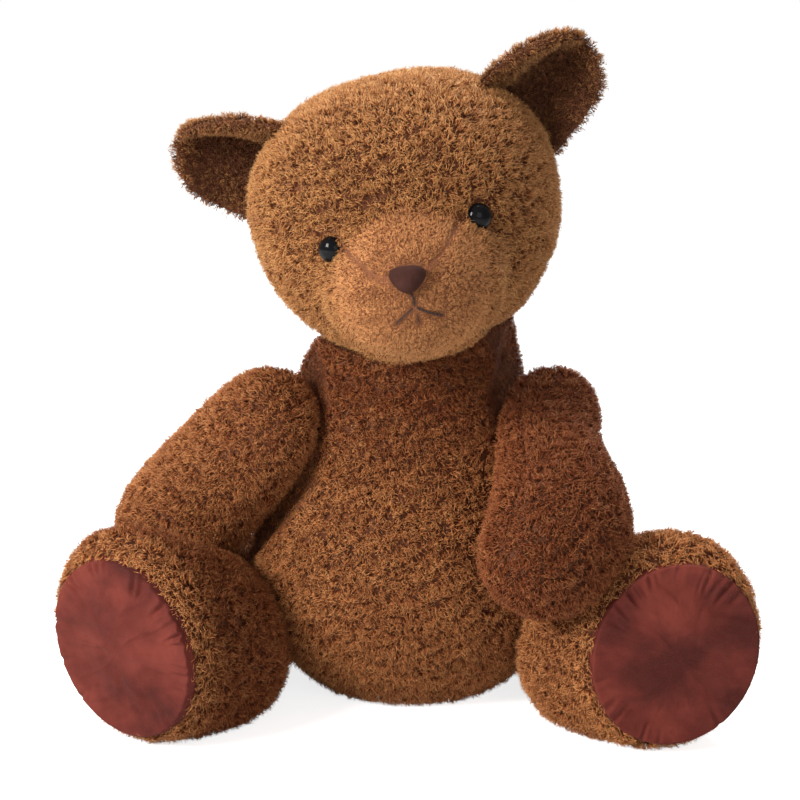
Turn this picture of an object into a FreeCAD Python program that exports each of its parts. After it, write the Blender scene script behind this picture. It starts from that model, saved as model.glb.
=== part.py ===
import FreeCAD, Part
import math
import os
import Sketcher
from FreeCAD import Vector, Rotation, Placement

# Jointed plush bear, sitting.  Millimetres, +Z up, faces -Y, its own left is +X.
# Origin: centre of the flat seat patch under the torso, on the floor.
# Cloth covers with a filling inside; the neck, shoulders and hips turn on disc joints.

doc = FreeCAD.newDocument("jointed_bear")
sheet = doc.addObject("Spreadsheet::Sheet", "dims")
sheet.Label = "dims"
size = {}     # driving dimensions by alias
parts = {}    # finished pieces by name

# ---------------------------------------------------------------- driving dimensions
JOINT_DIMS = [
    ("cover_thick", 3.0, "plush cloth with the dense lower half of its pile"),
    ("seat_gap", 0.6, "each side of every joint plane"),
    ("fill_gap", 0.4, "cover to filling"),
    ("disc_gap", 0.3, "cover to joint disc"),
    ("disc_thick", 3.2, "joint disc flange"),
    ("stem_rad", 4.0, "joint disc stem"),
    ("stem_clear", 0.08, "stem in bearing disc"),
    ("stem_hole", 5.0, "stem hole through each cover, radius"),
    ("washer_thick", 2.0, "lock washer"),
    ("washer_rad", 10.0, "lock washer outer radius"),
    ("stem_end", 13.0, "stem tip below the joint plane"),
    ("disc_rad_neck", 28.5, ""),
    ("disc_rad_shoulder", 15.5, ""),
    ("disc_rad_hip", 24.0, ""),
]

# x, y, z of the joint centres and of the skull's centre
POINTS = {
    "neck": (12, -3, 225),
    "shoulder_left": (69, -13, 159),
    "shoulder_right": (-69, -13, 161),
    "hip_left": (68, 24, 50),
    "hip_right": (-68, 24, 50),
    "head": (-1.5, -12, 293),
}

# wide, deep and tall of skull and snout are half sizes; places are in the head's frame
HEAD_DIMS = [
    ("skull_wide", 92.0, ""), ("skull_deep", 82.0, ""), ("skull_tall", 83.0, ""),
    ("snout_wide", 50.0, ""), ("snout_deep", 45.0, ""), ("snout_tall", 43.0, ""),
    ("snout_y", -72.0, ""), ("snout_z", -28.0, ""),
    ("muzzle_rad", 46.0, ""), ("muzzle_y", -101.0, ""), ("muzzle_z", -24.0, ""),
    ("seam_gap", 0.3, ""),
    ("ear_long", 58.0, ""), ("ear_half", 34.0, ""), ("ear_thick", 13.0, ""),
    ("ear_x", 76.0, ""), ("ear_y", 5.0, ""), ("ear_z", 43.0, ""),
    ("eye_rad", 7.6, ""), ("eye_x", 43.5, ""), ("eye_z", 2.0, ""),
    ("eye_x_right", 41.0, "this eye is set slightly nearer the middle"),
    ("eye_sink", 1.9, "back of the bead below the cover's outer face"),
    ("nose_sink", 2.0, "back of the nose below the cover's outer face"),
    ("eye_stem_rad", 2.4, ""), ("eye_stem_long", 12.0, ""), ("eye_washer_rad", 8.0, ""),
    ("nose_wide", 24.0, ""), ("nose_tall", 18.0, ""), ("nose_deep", 8.5, ""),
    ("nose_z", -15.5, ""),
    ("thread_rad", 0.8, ""),
    ("pad_thick", 2.5, ""),
]

# Elliptical stations of each loft.  Limb frame: z along the limb, x outward, y sideways.
# Torso frame: the bear's own, so run is z, outward is x and sideways is y.
# Columns: station, half thickness, half width, outward offset, sideways offset.
COLUMNS = ("run", "thick", "wide", "outward", "sideways")
STATIONS = {
    "arm_left": [
        (-40, 10, 12, 20, 0), (-36, 18, 22, 20, 0), (-24, 26, 31, 20, 0), (0, 31, 38, 22, 0),
        (30, 34, 40, 27, -1), (60, 36, 42, 35, -3), (85, 36, 42, 37, -6),
        (106, 33, 38, 35, -9), (121, 25, 30, 34, -11), (129, 10, 12, 34, -12),
    ],
    "arm_right": [
        (-35, 10, 12, 21, 0), (-31.5, 17, 21, 21, 0), (-22, 24, 29, 21, 0), (0, 31, 37, 22, 0),
        (30, 34, 38, 28, -1), (60, 34, 38, 36, -2), (85, 34, 38, 39, -4),
        (106, 31, 35, 39, -6), (120, 23, 27, 38, -8), (127, 9, 11, 38, -9),
    ],
    "leg": [
        (-44, 12, 14, 26, 2), (-39, 24, 27, 26, 2), (-26, 34, 35, 25, 2), (0, 39, 40, 25, 2),
        (30, 36, 39, 24, 2), (60, 30, 39, 27, 2), (90, 38, 44, 26, 6), (118, 47, 51, 25, 13),
        (140, 50, 54, 26, 18), (157, 51, 54, 26, 18.5), (162, 49, 52.5, 26, 18.5),
    ],
    "torso": [
        (0, 38, 40, 0, 2), (3, 48, 53, 0, 1), (14, 61, 68, 0, 0), (40, 74, 86, 0, -4),
        (75, 79, 92, 0, -6), (110, 74, 90, 0, -5), (145, 61, 82, 0, -2), (175, 51, 72, 1, 0),
        (198, 46, 63, 3, 1), (214, 44, 56, 6, 1), (226, 43, 50, 10, 0), (240, 40, 46, 13, -3),
    ],
}
# share of the sole's tilt taken by each leg station
LEG_TILT_SHARES = [0.0] * 6 + [0.1, 0.35, 0.8, 1.0, 1.0]
SOLE_TILT = {"left": -10.0, "right": 9.0}


def dim(alias, value, note=""):
    """Adds one driving dimension to the sheet."""
    row = len(size) + 1
    sheet.set("A%d" % row, alias)
    sheet.set("B%d" % row, repr(float(value)))
    if note:
        sheet.set("C%d" % row, note)
    sheet.setAlias("B%d" % row, alias)
    size[alias] = float(value)


for entry in JOINT_DIMS:
    dim(*entry)
for point, coords in POINTS.items():
    for letter, value in zip("xyz", coords):
        dim("%s_%s" % (point, letter), value)
for entry in HEAD_DIMS:
    dim(*entry)
for tag, rows in STATIONS.items():
    for i, row in enumerate(rows):
        for column, value in zip(COLUMNS, row):
            dim("%s_s%d_%s" % (tag, i, column), value)
dim("leg_pad_rim", 0.3, "cover end to foot pad")

# heights measured from a joint plane
cover_out = size["seat_gap"]                    # outer face of a cover
cover_in = cover_out + size["cover_thick"]      # inner face of a cover
fill_face = cover_in + size["fill_gap"]         # face of the filling
flange_in = cover_in + size["disc_gap"]         # disc face next to the cover
flange_out = flange_in + size["disc_thick"]     # disc face next to the filling

DISC_ROOM = 0.6                                 # filling pocket round a disc, radius and limb depth

# changes to a radius, as text for an expression
TO_LINING = " - dims.cover_thick"
TO_FILLING = " - dims.cover_thick - dims.fill_gap"
PAST_SEAM = " + dims.seam_gap"


# ---------------------------------------------------------------- frames
def frame(origin, z_dir, x_dir):
    """Placement whose local z is z_dir and local x is as near x_dir as it can be."""
    z = Vector(z_dir)
    z.normalize()
    x = Vector(x_dir) - z * z.dot(Vector(x_dir))
    x.normalize()
    y = z.cross(x)
    return Placement(FreeCAD.Matrix(x.x, y.x, z.x, origin[0],
                                    x.y, y.y, z.y, origin[1],
                                    x.z, y.z, z.z, origin[2],
                                    0, 0, 0, 1))


def at(point):
    return Vector(*[size["%s_%s" % (point, letter)] for letter in "xyz"])


def put(obj, placement, point):
    """Places an object and ties its origin to a point of the sheet."""
    obj.Placement = placement
    for letter in "xyz":
        obj.setExpression("Placement.Base." + letter, "dims.%s_%s" % (point, letter))


def shoulder(side, swing):
    """Joint axis away from the torso, and the way the arm hangs after its swing."""
    axis = Vector(side * 0.83, -0.48, 0.29)
    axis.normalize()
    hang = axis * axis.z - UP
    hang.normalize()
    forward = hang.cross(axis) * side
    angle = math.radians(swing)
    along = hang * math.cos(angle) + forward * math.sin(angle)
    along.normalize()
    return axis, along


def hip(side, splay_angle):
    """Joint axis away from the torso, and the level direction of the leg."""
    splay = math.radians(splay_angle)
    droop = math.radians(20.0)
    axis = Vector(side * math.cos(splay) * math.cos(droop),
                  math.sin(splay) * math.cos(droop),
                  -math.sin(droop))
    return axis, Vector(side * math.sin(splay), -math.cos(splay), 0)


UP = Vector(0, 0, 1)
head_turn = Rotation(UP, -2.0).multiply(Rotation(Vector(0, 1, 0), -13.0))
head_frame = Placement(at("head"), head_turn)

JOINTS = {
    "neck": (head_turn.multVec(UP), head_turn.multVec(Vector(0, -1, 0))),
    "shoulder_left": shoulder(1, 50.0),
    "shoulder_right": shoulder(-1, -43.0),
    "hip_left": hip(1, 19.0),
    "hip_right": hip(-1, 25.0),
}
# joint frames have z along the joint axis, limb frames have x along it
joint_frames = {joint: frame(at(joint), axis, along) for joint, (axis, along) in JOINTS.items()}
limb_frames = {joint: frame(at(joint), along, axis) for joint, (axis, along) in JOINTS.items()}
axis_in_limb = Placement(Vector(0, 0, 0), Rotation(Vector(0, 1, 0), 90))   # local z laid along x


def disc_alias(joint):
    return "disc_rad_" + joint.split("_")[0]


def disc_pocket_radius(joint):
    return "dims.%s + %r" % (disc_alias(joint), DISC_ROOM)


# ---------------------------------------------------------------- basic solids
def publish(name, obj):
    obj.Label = name
    parts[name] = obj


def box(name, lengths, corner, placement=Placement()):
    solid = doc.addObject("Part::Box", name)
    solid.Length, solid.Width, solid.Height = lengths
    solid.Placement = placement.multiply(Placement(Vector(*corner), Rotation()))
    return solid


def rod(name, radius, z_low, z_high, placement):
    """Cylinder along the placement's z; radius is an expression."""
    solid = doc.addObject("Part::Cylinder", name)
    solid.setExpression("Radius", radius)
    solid.Height = z_high - z_low
    solid.Placement = placement.multiply(Placement(Vector(0, 0, z_low), Rotation()))
    return solid


def ellipsoid(name, along_x, along_y, along_z, centre=None):
    """Ellipsoid from three radius expressions; centre names its y and z in the sheet."""
    solid = doc.addObject("Part::Ellipsoid", name)
    solid.setExpression("Radius1", along_z)
    solid.setExpression("Radius2", along_x)
    solid.setExpression("Radius3", along_y)
    if centre:
        for letter in "yz":
            solid.setExpression("Placement.Base." + letter, "dims.%s_%s" % (centre, letter))
    return solid


def combine(kind, name, base, tool):
    """kind is Cut, Fuse or Common."""
    result = doc.addObject("Part::" + kind, name)
    result.Base = base
    result.Tool = tool
    return result


def cut_many(name, solid, tools):
    last = len(tools) - 1
    for i, tool in enumerate(tools):
        solid = combine("Cut", name if i == last else "%s_step%d" % (name, i), solid, tool)
    return solid


# ---------------------------------------------------------------- lofts
END_SHARES = (1.0, 0.75, 0.35)   # how far the three stations at a closed end move in with the wall


def station_ellipse(name, tag, index, inset, inset_text):
    """Ellipse of one station, drawn in by inset; inset_text is the same as an expression."""
    ellipse = doc.addObject("Part::Ellipse", name)
    for prop, column in (("MajorRadius", "wide"), ("MinorRadius", "thick")):
        alias = "%s_s%d_%s" % (tag, index, column)
        # start value keeps the ellipse valid until the expression is worked out
        setattr(ellipse, prop, size[alias] - inset)
        ellipse.setExpression(prop, "dims.%s%s" % (alias, inset_text))
    return ellipse


def section_loft(name, tag, inset_aliases=(), side=1, spin=90, sole_tilt=0.0, past=None):
    """Loft through the stations of a table.

    side flips the sideways offset and spin turns the wide axis from x.  The low end is
    closed; past is how far an open high end is carried on, None where it is closed.
    """
    sections = []
    last = len(STATIONS[tag]) - 1
    inset = sum(size[alias] for alias in inset_aliases)
    inset_text = "".join(" - dims." + alias for alias in inset_aliases)
    for i in range(last + 1):
        shift = 0.0
        if i < len(END_SHARES):
            shift += END_SHARES[i] * inset
        if past is None:
            if last - i < len(END_SHARES):
                shift -= END_SHARES[last - i] * inset
        elif i == last:
            shift += past
        tilt = sole_tilt * LEG_TILT_SHARES[i] if sole_tilt else 0.0
        ellipse = station_ellipse("%s_sec%d" % (name, i), tag, i, inset, inset_text)
        turn = Rotation(Vector(0, 1, 0), tilt).multiply(Rotation(UP, spin))
        ellipse.Placement = Placement(Vector(0, 0, 0), turn)
        station = "dims.%s_s%d_" % (tag, i)
        ellipse.setExpression("Placement.Base.x", station + "outward")
        ellipse.setExpression("Placement.Base.y", "%d * %ssideways" % (side, station))
        ellipse.setExpression("Placement.Base.z", "%srun + %r" % (station, round(shift, 4)))
        sections.append(ellipse)
    return loft(name, sections)


def loft(name, sections):
    solid = doc.addObject("Part::Loft", name)
    solid.Sections = sections
    solid.Solid = True
    return solid


# ---------------------------------------------------------------- limbs
def limb(label, tag, joint, side, sole_tilt=0.0):
    """Cover and stuffing of an arm or leg, cut flat at the joint; a leg is open at the sole."""
    is_leg = tag == "leg"
    block = 200.0                        # cutting block's thickness, half width and low reach
    reach = 62.0 if is_leg else 300.0    # how far along the limb the joint flat is cut

    def layer(suffix, inset_aliases, past):
        return section_loft(label + suffix, tag, inset_aliases, side, sole_tilt=sole_tilt,
                            past=past if is_leg else None)

    def flat(suffix, face, extra):
        return box(label + suffix, (block, 2 * block, block + reach + extra),
                   (face - block, -block, -block))

    outer = section_loft(label + "_outer", tag, (), side, sole_tilt=sole_tilt)
    inner = layer("_inner", ("cover_thick",), 1.5)
    fill = layer("_fill", ("cover_thick", "fill_gap"), -0.2)
    hole = rod(label + "_stem_hole", "dims.stem_hole", -1.0, cover_in + 1.0, axis_in_limb)
    shell_out = combine("Cut", label + "_shell_out", outer, flat("_flat_out", cover_out, 0))
    shell_in = combine("Cut", label + "_shell_in", inner, flat("_flat_in", cover_in, 4))
    cover = cut_many(label + "_cover", shell_out, [shell_in, hole])
    put(cover, limb_frames[joint], joint)
    publish(label + "_cover", cover)

    pocket = rod(label + "_disc_pocket", disc_pocket_radius(joint), -1.0,
                 flange_out + DISC_ROOM, axis_in_limb)
    stuffing = cut_many(label + "_stuffing", fill, [flat("_flat_fill", fill_face, 5), pocket])
    put(stuffing, limb_frames[joint], joint)
    publish(label + "_stuffing", stuffing)


def foot_pad(label, joint, side, sole_tilt):
    """Domed suede oval closing the sole."""
    # height above the last leg station, and how much each half axis is reduced
    dome = ((size["leg_pad_rim"], 0.4), (1.8, 1.2), (3.4, 5.0), (5.2, 15.0), (6.4, 28.0))
    last = len(STATIONS["leg"]) - 1
    run, _, _, outward, sideways = STATIONS["leg"][last]
    tilt = Rotation(Vector(0, 1, 0), sole_tilt)
    normal = tilt.multVec(UP)
    base = Vector(outward, side * sideways, run)
    sections = []
    for i, (rise, less) in enumerate(dome):
        ellipse = station_ellipse("%s_sec%d" % (label, i), "leg", last, less, " - %r" % less)
        ellipse.Placement = Placement(base + normal * rise, tilt.multiply(Rotation(UP, 90)))
        sections.append(ellipse)
    pad = loft(label, sections)
    put(pad, limb_frames[joint], joint)
    publish(label, pad)


for hand, side in (("left", 1), ("right", -1)):
    limb("arm_" + hand, "arm_" + hand, "shoulder_" + hand, -side)
for hand, side in (("left", 1), ("right", -1)):
    limb("leg_" + hand, "leg", "hip_" + hand, side, SOLE_TILT[hand])
    foot_pad("foot_pad_" + hand, "hip_" + hand, side, SOLE_TILT[hand])


# ---------------------------------------------------------------- torso
def torso():
    """Cover and stuffing, cut flat at all five joints."""
    def seats(prefix, depth):
        return [box("%s_%s" % (prefix, joint), (300, 300, 200), (-150, -150, -depth), placement)
                for joint, placement in joint_frames.items()]

    def rods(prefix, radius_of, depth):
        return [rod("%s_%s" % (prefix, joint), radius_of(joint), -depth, 1.0, placement)
                for joint, placement in joint_frames.items()]

    outer = section_loft("torso_outer", "torso", spin=0)
    inner = section_loft("torso_inner", "torso", ("cover_thick",), spin=0, past=0.0)
    fill = section_loft("torso_fill", "torso", ("cover_thick", "fill_gap"), spin=0, past=0.0)
    shell_out = cut_many("torso_shell_out", outer, seats("torso_seat_out", cover_out))
    shell_in = cut_many("torso_shell_in", inner, seats("torso_seat_in", cover_in))
    holes = rods("torso_hole", lambda joint: "dims.stem_hole", cover_in + 1.0)
    publish("torso_cover", cut_many("torso_cover", shell_out, [shell_in] + holes))

    pockets = rods("torso_pocket", disc_pocket_radius, flange_out + 0.5)
    sockets = rods("torso_socket", lambda joint: "dims.washer_rad + 1", size["stem_end"] + 1.0)
    tools = seats("torso_seat_fill", fill_face) + pockets + sockets
    publish("torso_stuffing", cut_many("torso_stuffing", fill, tools))


torso()

# ---------------------------------------------------------------- head
neck_in_head = Placement(head_frame.inverse().multVec(at("neck")), Rotation())


def surface_point(part, x, z):
    """Front point of the skull or snout at x, z, and the outward normal there."""
    wide, deep, tall = [size[part + "_" + way] for way in ("wide", "deep", "tall")]
    centre_y = size.get(part + "_y", 0.0)
    centre_z = size.get(part + "_z", 0.0)
    y = centre_y - deep * math.sqrt(1 - (x / wide) ** 2 - ((z - centre_z) / tall) ** 2)
    normal = Vector(x / wide ** 2, (y - centre_y) / deep ** 2, (z - centre_z) / tall ** 2)
    normal.normalize()
    return Vector(x, y, z), normal


def face_frame(part, x, z):
    """Local z out of the face, local y up it."""
    return frame(*surface_point(part, x, z), (1, 0, 0))


face_frames = {
    "left": face_frame("skull", size["eye_x"], size["eye_z"]),
    "right": face_frame("skull", -size["eye_x_right"], size["eye_z"]),
    "nose": face_frame("snout", 0.0, size["nose_z"]),
}


def egg(name, part, change, centre=None):
    return ellipsoid(name, "dims.%s_wide%s" % (part, change), "dims.%s_deep%s" % (part, change),
                     "dims.%s_tall%s" % (part, change), centre)


def head_solid(prefix, change, neck_face):
    """Skull and snout in one, cut flat at neck_face above the neck joint plane."""
    skull = egg(prefix + "_skull", "skull", change)
    snout = egg(prefix + "_snout", "snout", change, "snout")
    both = combine("Fuse", prefix + "_both", skull, snout)
    neck_z = neck_in_head.Base.z
    flat = box(prefix.replace("head_", "head_flat_"), (400, 400, 200),
               (-200, -200, neck_z + neck_face - 200))
    return both, flat


def muzzle_ball(name, change=""):
    radius = "dims.muzzle_rad" + change
    return ellipsoid(name, radius, radius, radius, "muzzle")


def head_covers():
    """Cloth shell, parted by a ball into the head cover and the muzzle cover."""
    room = 0.3          # round beads and face stems, radius
    seat_room = 0.25    # behind the beads and nose
    seat_top = 12
    stem_reach = 8      # stem holes, each side of the surface
    shell_out = combine("Cut", "head_shell_out", *head_solid("head_out", "", cover_out))
    shell_in = combine("Cut", "head_shell_in", *head_solid("head_in", TO_LINING, cover_in))
    tools = [shell_in,
             rod("head_stem_hole", "dims.stem_hole", -2.0, cover_in + 2.0, neck_in_head)]
    for tag in ("left", "right"):
        tools.append(rod("eye_seat_" + tag, "dims.eye_rad + %r" % room,
                         -size["eye_sink"] - seat_room, seat_top, face_frames[tag]))
    tools.append(rod("nose_seat", "dims.nose_wide / 2 + 0.5",
                     -size["nose_sink"] - seat_room, seat_top, face_frames["nose"]))
    for tag, placement in face_frames.items():
        tools.append(rod("face_hole_" + tag, "dims.eye_stem_rad + %r" % room,
                         -stem_reach, stem_reach, placement))
    shell = cut_many("head_shell", shell_out, tools)
    for name, kind, ball in (
            ("head_cover", "Cut", muzzle_ball("muzzle_tool_big", PAST_SEAM)),
            ("muzzle_cover", "Common", muzzle_ball("muzzle_tool_small"))):
        cover = combine(kind, name, shell, ball)
        put(cover, head_frame, "head")
        publish(name, cover)


def head_stuffing():
    fill = combine("Cut", "head_fill", *head_solid("head_fill", TO_FILLING, fill_face))
    tools = [rod("head_disc_pocket", disc_pocket_radius("neck"), -5.0,
                 flange_out + DISC_ROOM, neck_in_head)]
    for tag, placement in face_frames.items():
        tools.append(rod("head_pocket_" + tag, "dims.eye_washer_rad + 0.5", -15.0, 6.0,
                         placement))
    stuffing = cut_many("head_stuffing", fill, tools)
    put(stuffing, head_frame, "head")
    publish("head_stuffing", stuffing)


def ear(label, side):
    """Flat ellipsoid hollowed on its front and trimmed to the skull."""
    cup_forward = 9.5
    # local z points out of the head, x runs along the ear's root, y is back on the
    # left ear and front on the right
    placement = frame((side * size["ear_x"], size["ear_y"], size["ear_z"]),
                      (side * 0.84, 0, 0.54), (side * 0.54, 0, -0.84))
    back = ellipsoid(label + "_back", "dims.ear_half", "dims.ear_thick", "dims.ear_long")
    back.Placement = placement
    cup = ellipsoid(label + "_cup", "dims.ear_half - 6", "dims.ear_thick", "dims.ear_long - 7")
    cup.Placement = placement.multiply(Placement(Vector(0, -side * cup_forward, 0), Rotation()))
    trimmed = cut_many(label, back, [cup, egg(label + "_skull", "skull", PAST_SEAM)])
    put(trimmed, head_frame, "head")
    publish(label, trimmed)


head_covers()
head_stuffing()
ear("ear_left", 1)
ear("ear_right", -1)


# ---------------------------------------------------------------- body helpers
def new_body(label):
    return doc.addObject("PartDesign::Body", label + "_body")


def origin_feature(body, role):
    for feature in body.Origin.OriginFeatures:
        if feature.Role == role:
            return feature
    raise ValueError(role)


def new_sketch(body, name, role, height=0.0):
    """Sketch on an origin plane, raised along the plane's normal."""
    sketch = body.newObject("Sketcher::SketchObject", name)
    sketch.AttachmentSupport = [(origin_feature(body, role), "")]
    sketch.MapMode = "FlatFace"
    if height:
        sketch.AttachmentOffset = Placement(Vector(0, 0, height), Rotation())
    return sketch


def polygon(sketch, points):
    count = len(points)
    for i in range(count):
        start, end = points[i], points[(i + 1) % count]
        sketch.addGeometry(Part.LineSegment(Vector(*start, 0), Vector(*end, 0)), False)
    for i in range(count):
        sketch.addConstraint(Sketcher.Constraint("Coincident", i, 2, (i + 1) % count, 1))


def turned_body(label, name, points, bound_point, alias):
    """Body turned about z from (radius, z) points; one point's radius follows the sheet."""
    body = new_body(label)
    sketch = new_sketch(body, name + "_outline", "XZ_Plane")
    polygon(sketch, points)
    index = sketch.addConstraint(Sketcher.Constraint(
        "DistanceX", -1, 1, bound_point, 1, points[bound_point][0]))
    sketch.setExpression("Constraints[%d]" % index, "dims." + alias)
    doc.recompute()
    revolution = body.newObject("PartDesign::Revolution", name)
    revolution.Profile = sketch
    revolution.ReferenceAxis = (sketch, ["V_Axis"])
    revolution.Angle = 360.0
    sketch.Visibility = False
    return body


def pocket_ring(body, pocket_name, pattern_name, points, height, depth, count):
    """Pocket cut down from height, repeated round z."""
    sketch = new_sketch(body, pocket_name + "_outline", "XY_Plane", height)
    polygon(sketch, points)
    doc.recompute()
    volume = body.Shape.Volume
    pocket = body.newObject("PartDesign::Pocket", pocket_name)
    pocket.Profile = sketch
    pocket.Length = depth
    doc.recompute()
    # guards against the pocket running away from the solid
    if not (body.Shape.Volume < volume - 0.1):
        pocket.Reversed = True
        doc.recompute()
    pattern = body.newObject("PartDesign::PolarPattern", pattern_name)
    pattern.Originals = [pocket]
    pattern.Axis = (origin_feature(body, "Z_Axis"), [""])
    pattern.Angle = 360.0
    pattern.Occurrences = count
    body.Tip = pattern


# ---------------------------------------------------------------- joint hardware
EDGE = 0.8          # bevel height at the disc rims


def stem_disc(joint):
    """Flange inside the limb or head with a stem that reaches through both covers."""
    label = joint + "_stem_disc"
    rim = size[disc_alias(joint)]
    stem = size["stem_rad"]
    tip = -size["stem_end"]
    points = [
        (0, tip), (stem - 1.2, tip), (stem - 0.2, tip + 1.4),
        # groove near the tip
        (stem - 0.7, tip + 1.6), (stem - 0.7, tip + 2.4), (stem - 0.05, tip + 2.8),
        (stem, tip + 3.0), (stem, flange_in - 0.6), (stem + 0.8, flange_in),
        (rim - 1.0, flange_in), (rim, flange_in + EDGE),
        (rim, flange_out - EDGE), (rim - 1.0, flange_out),
        (stem + 3, flange_out), (stem + 1.5, flange_out - 1.2), (0, flange_out - 1.2),
    ]
    body = turned_body(label, label + "_turned", points, 10, disc_alias(joint))
    # lightening pockets between ribs, on the face away from the joint plane
    inside, outside, half_angle = stem + 5.0, rim - 3.5, math.radians(17)
    wedge = [(radius * math.cos(angle), radius * math.sin(angle)) for radius, angle in (
        (inside, -half_angle), (outside, -half_angle),
        (outside, half_angle), (inside, half_angle))]
    pocket_ring(body, label + "_pocket", label + "_ribs", wedge, flange_out + 1.0, 2.6, 8)
    put(body, joint_frames[joint], joint)
    publish(label, body)


def bearing_disc(joint):
    """Plain bearing disc inside the torso cover."""
    label = joint + "_bearing_disc"
    rim = size[disc_alias(joint)]
    bore = size["stem_rad"] + size["stem_clear"]
    points = [
        (bore, -flange_out), (bore + 3.0, -flange_out),
        # shallow recess in the lower face
        (bore + 3.4, -flange_out + 0.8), (rim - 4.0, -flange_out + 0.8),
        (rim - 3.6, -flange_out), (rim - 1.0, -flange_out), (rim, -flange_out + EDGE),
        (rim, -flange_in - EDGE), (rim - 1.0, -flange_in),
        (bore + 0.4, -flange_in), (bore, -flange_in - 0.4),
    ]
    body = turned_body(label, label + "_turned", points, 6, disc_alias(joint))
    put(body, joint_frames[joint], joint)
    publish(label, body)


def lock_washer(joint):
    """Toothed spring washer gripping the stem below the bearing disc."""
    label = joint + "_lock_washer"
    bore = size["stem_rad"] + 0.05
    rim = size["washer_rad"]
    thick = size["washer_thick"]
    top = -flange_out - 0.4
    low = top - thick
    points = [
        (bore, low), (bore + 1.5, low), (rim - 1, low + 0.7), (rim, low + 1.0), (rim, top),
        (rim - 1.6, top), (rim - 2.0, top - 0.4), (bore + 1.6, top - 0.9), (bore, top - 0.9),
    ]
    body = turned_body(label, label + "_turned", points, 3, "washer_rad")
    slot = [(bore - 0.6, -0.5), (bore + 2.6, -0.5), (bore + 2.6, 0.5), (bore - 0.6, 0.5)]
    pocket_ring(body, label + "_slot", label + "_teeth", slot, top + 1.0, thick + 2.0, 6)
    put(body, joint_frames[joint], joint)
    publish(label, body)


for joint in JOINTS:
    stem_disc(joint)
    bearing_disc(joint)
    lock_washer(joint)


# ---------------------------------------------------------------- face
def publish_on_face(label, body, tag):
    body.Placement = head_frame.multiply(face_frames[tag])
    publish(label, body)


def face_washer(label, tag, cover_gap):
    """Small washer on an eye or nose stem, cover_gap behind the cover."""
    bore = size["eye_stem_rad"] + 0.05
    rim = size["eye_washer_rad"]
    top = -size["cover_thick"] - cover_gap
    low = top - 2.0
    points = [(bore, low), (rim - 0.5, low), (rim, low + 0.5), (rim, top - 0.5),
              (rim - 0.5, top), (bore, top)]
    body = turned_body(label, label + "_turned", points, 3, "eye_washer_rad")
    publish_on_face(label, body, tag)


def eye(tag):
    """Domed bead: a flat back, a bevelled rim and a rounded front, on a stem."""
    rim = size["eye_rad"]
    stem = size["eye_stem_rad"]
    tip = -size["eye_stem_long"]
    back = -size["eye_sink"]
    bevel = 0.9
    dome_rise = 6.2
    dome_steps = 12
    points = [(0, tip), (stem - 0.4, tip), (stem, tip + 0.6), (stem, back),
              (rim - bevel, back), (rim, back + bevel)]
    for i in range(1, dome_steps + 1):
        angle = math.radians(90.0 * i / dome_steps)
        radius = rim * math.cos(angle) if i < dome_steps else 0.0
        points.append((radius, back + bevel + dome_rise * math.sin(angle)))
    body = turned_body("eye_" + tag, "eye_%s_bead" % tag, points, 5, "eye_rad")
    publish_on_face("eye_" + tag, body, tag)
    face_washer("eye_washer_" + tag, tag, 1.2)


def nose():
    """Rounded triangle, wide at the top, with a chamfered front and a stem."""
    body = new_body("nose")
    wide, tall = size["nose_wide"] / 2, size["nose_tall"] / 2
    # shares of the half width and half height; +y is up the face
    outline = [(-1, 0.25), (-0.82, 0.80), (-0.35, 1), (0.35, 1), (0.82, 0.80), (1, 0.25),
               (0.72, -0.45), (0.30, -0.93), (-0.30, -0.93), (-0.72, -0.45)]
    sketch = new_sketch(body, "nose_outline", "XY_Plane", -size["nose_sink"])
    polygon(sketch, [(wide * x, tall * y) for x, y in outline])
    index = sketch.addConstraint(Sketcher.Constraint("DistanceX", 0, 1, 5, 1, 2 * wide))
    sketch.setExpression("Constraints[%d]" % index, "dims.nose_wide")
    doc.recompute()
    block = body.newObject("PartDesign::Pad", "nose_block")
    block.Profile = sketch
    block.setExpression("Length", "dims.nose_deep")
    doc.recompute()

    front = block.Shape.BoundBox.ZMax
    front_edges = ["Edge%d" % (i + 1) for i, edge in enumerate(block.Shape.Edges)
                   if all(abs(vertex.Point.z - front) < 1e-4 for vertex in edge.Vertexes)]
    chamfer = body.newObject("PartDesign::Chamfer", "nose_round")
    chamfer.Base = (block, front_edges)
    chamfer.Size = 2.6
    doc.recompute()

    stem_sketch = new_sketch(body, "nose_stem_outline", "XY_Plane", -size["eye_stem_long"])
    radius = size["eye_stem_rad"]
    stem_sketch.addGeometry(Part.Circle(Vector(0, 0, 0), UP, radius), False)
    stem_sketch.addConstraint(Sketcher.Constraint("Coincident", 0, 3, -1, 1))
    index = stem_sketch.addConstraint(Sketcher.Constraint("Radius", 0, radius))
    stem_sketch.setExpression("Constraints[%d]" % index, "dims.eye_stem_rad")
    doc.recompute()
    stem = body.newObject("PartDesign::Pad", "nose_stem")
    stem.Profile = stem_sketch
    stem.Length = size["eye_stem_long"]
    doc.recompute()
    publish_on_face("nose", body, "nose")
    face_washer("nose_washer", "nose", 1.9)


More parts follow.
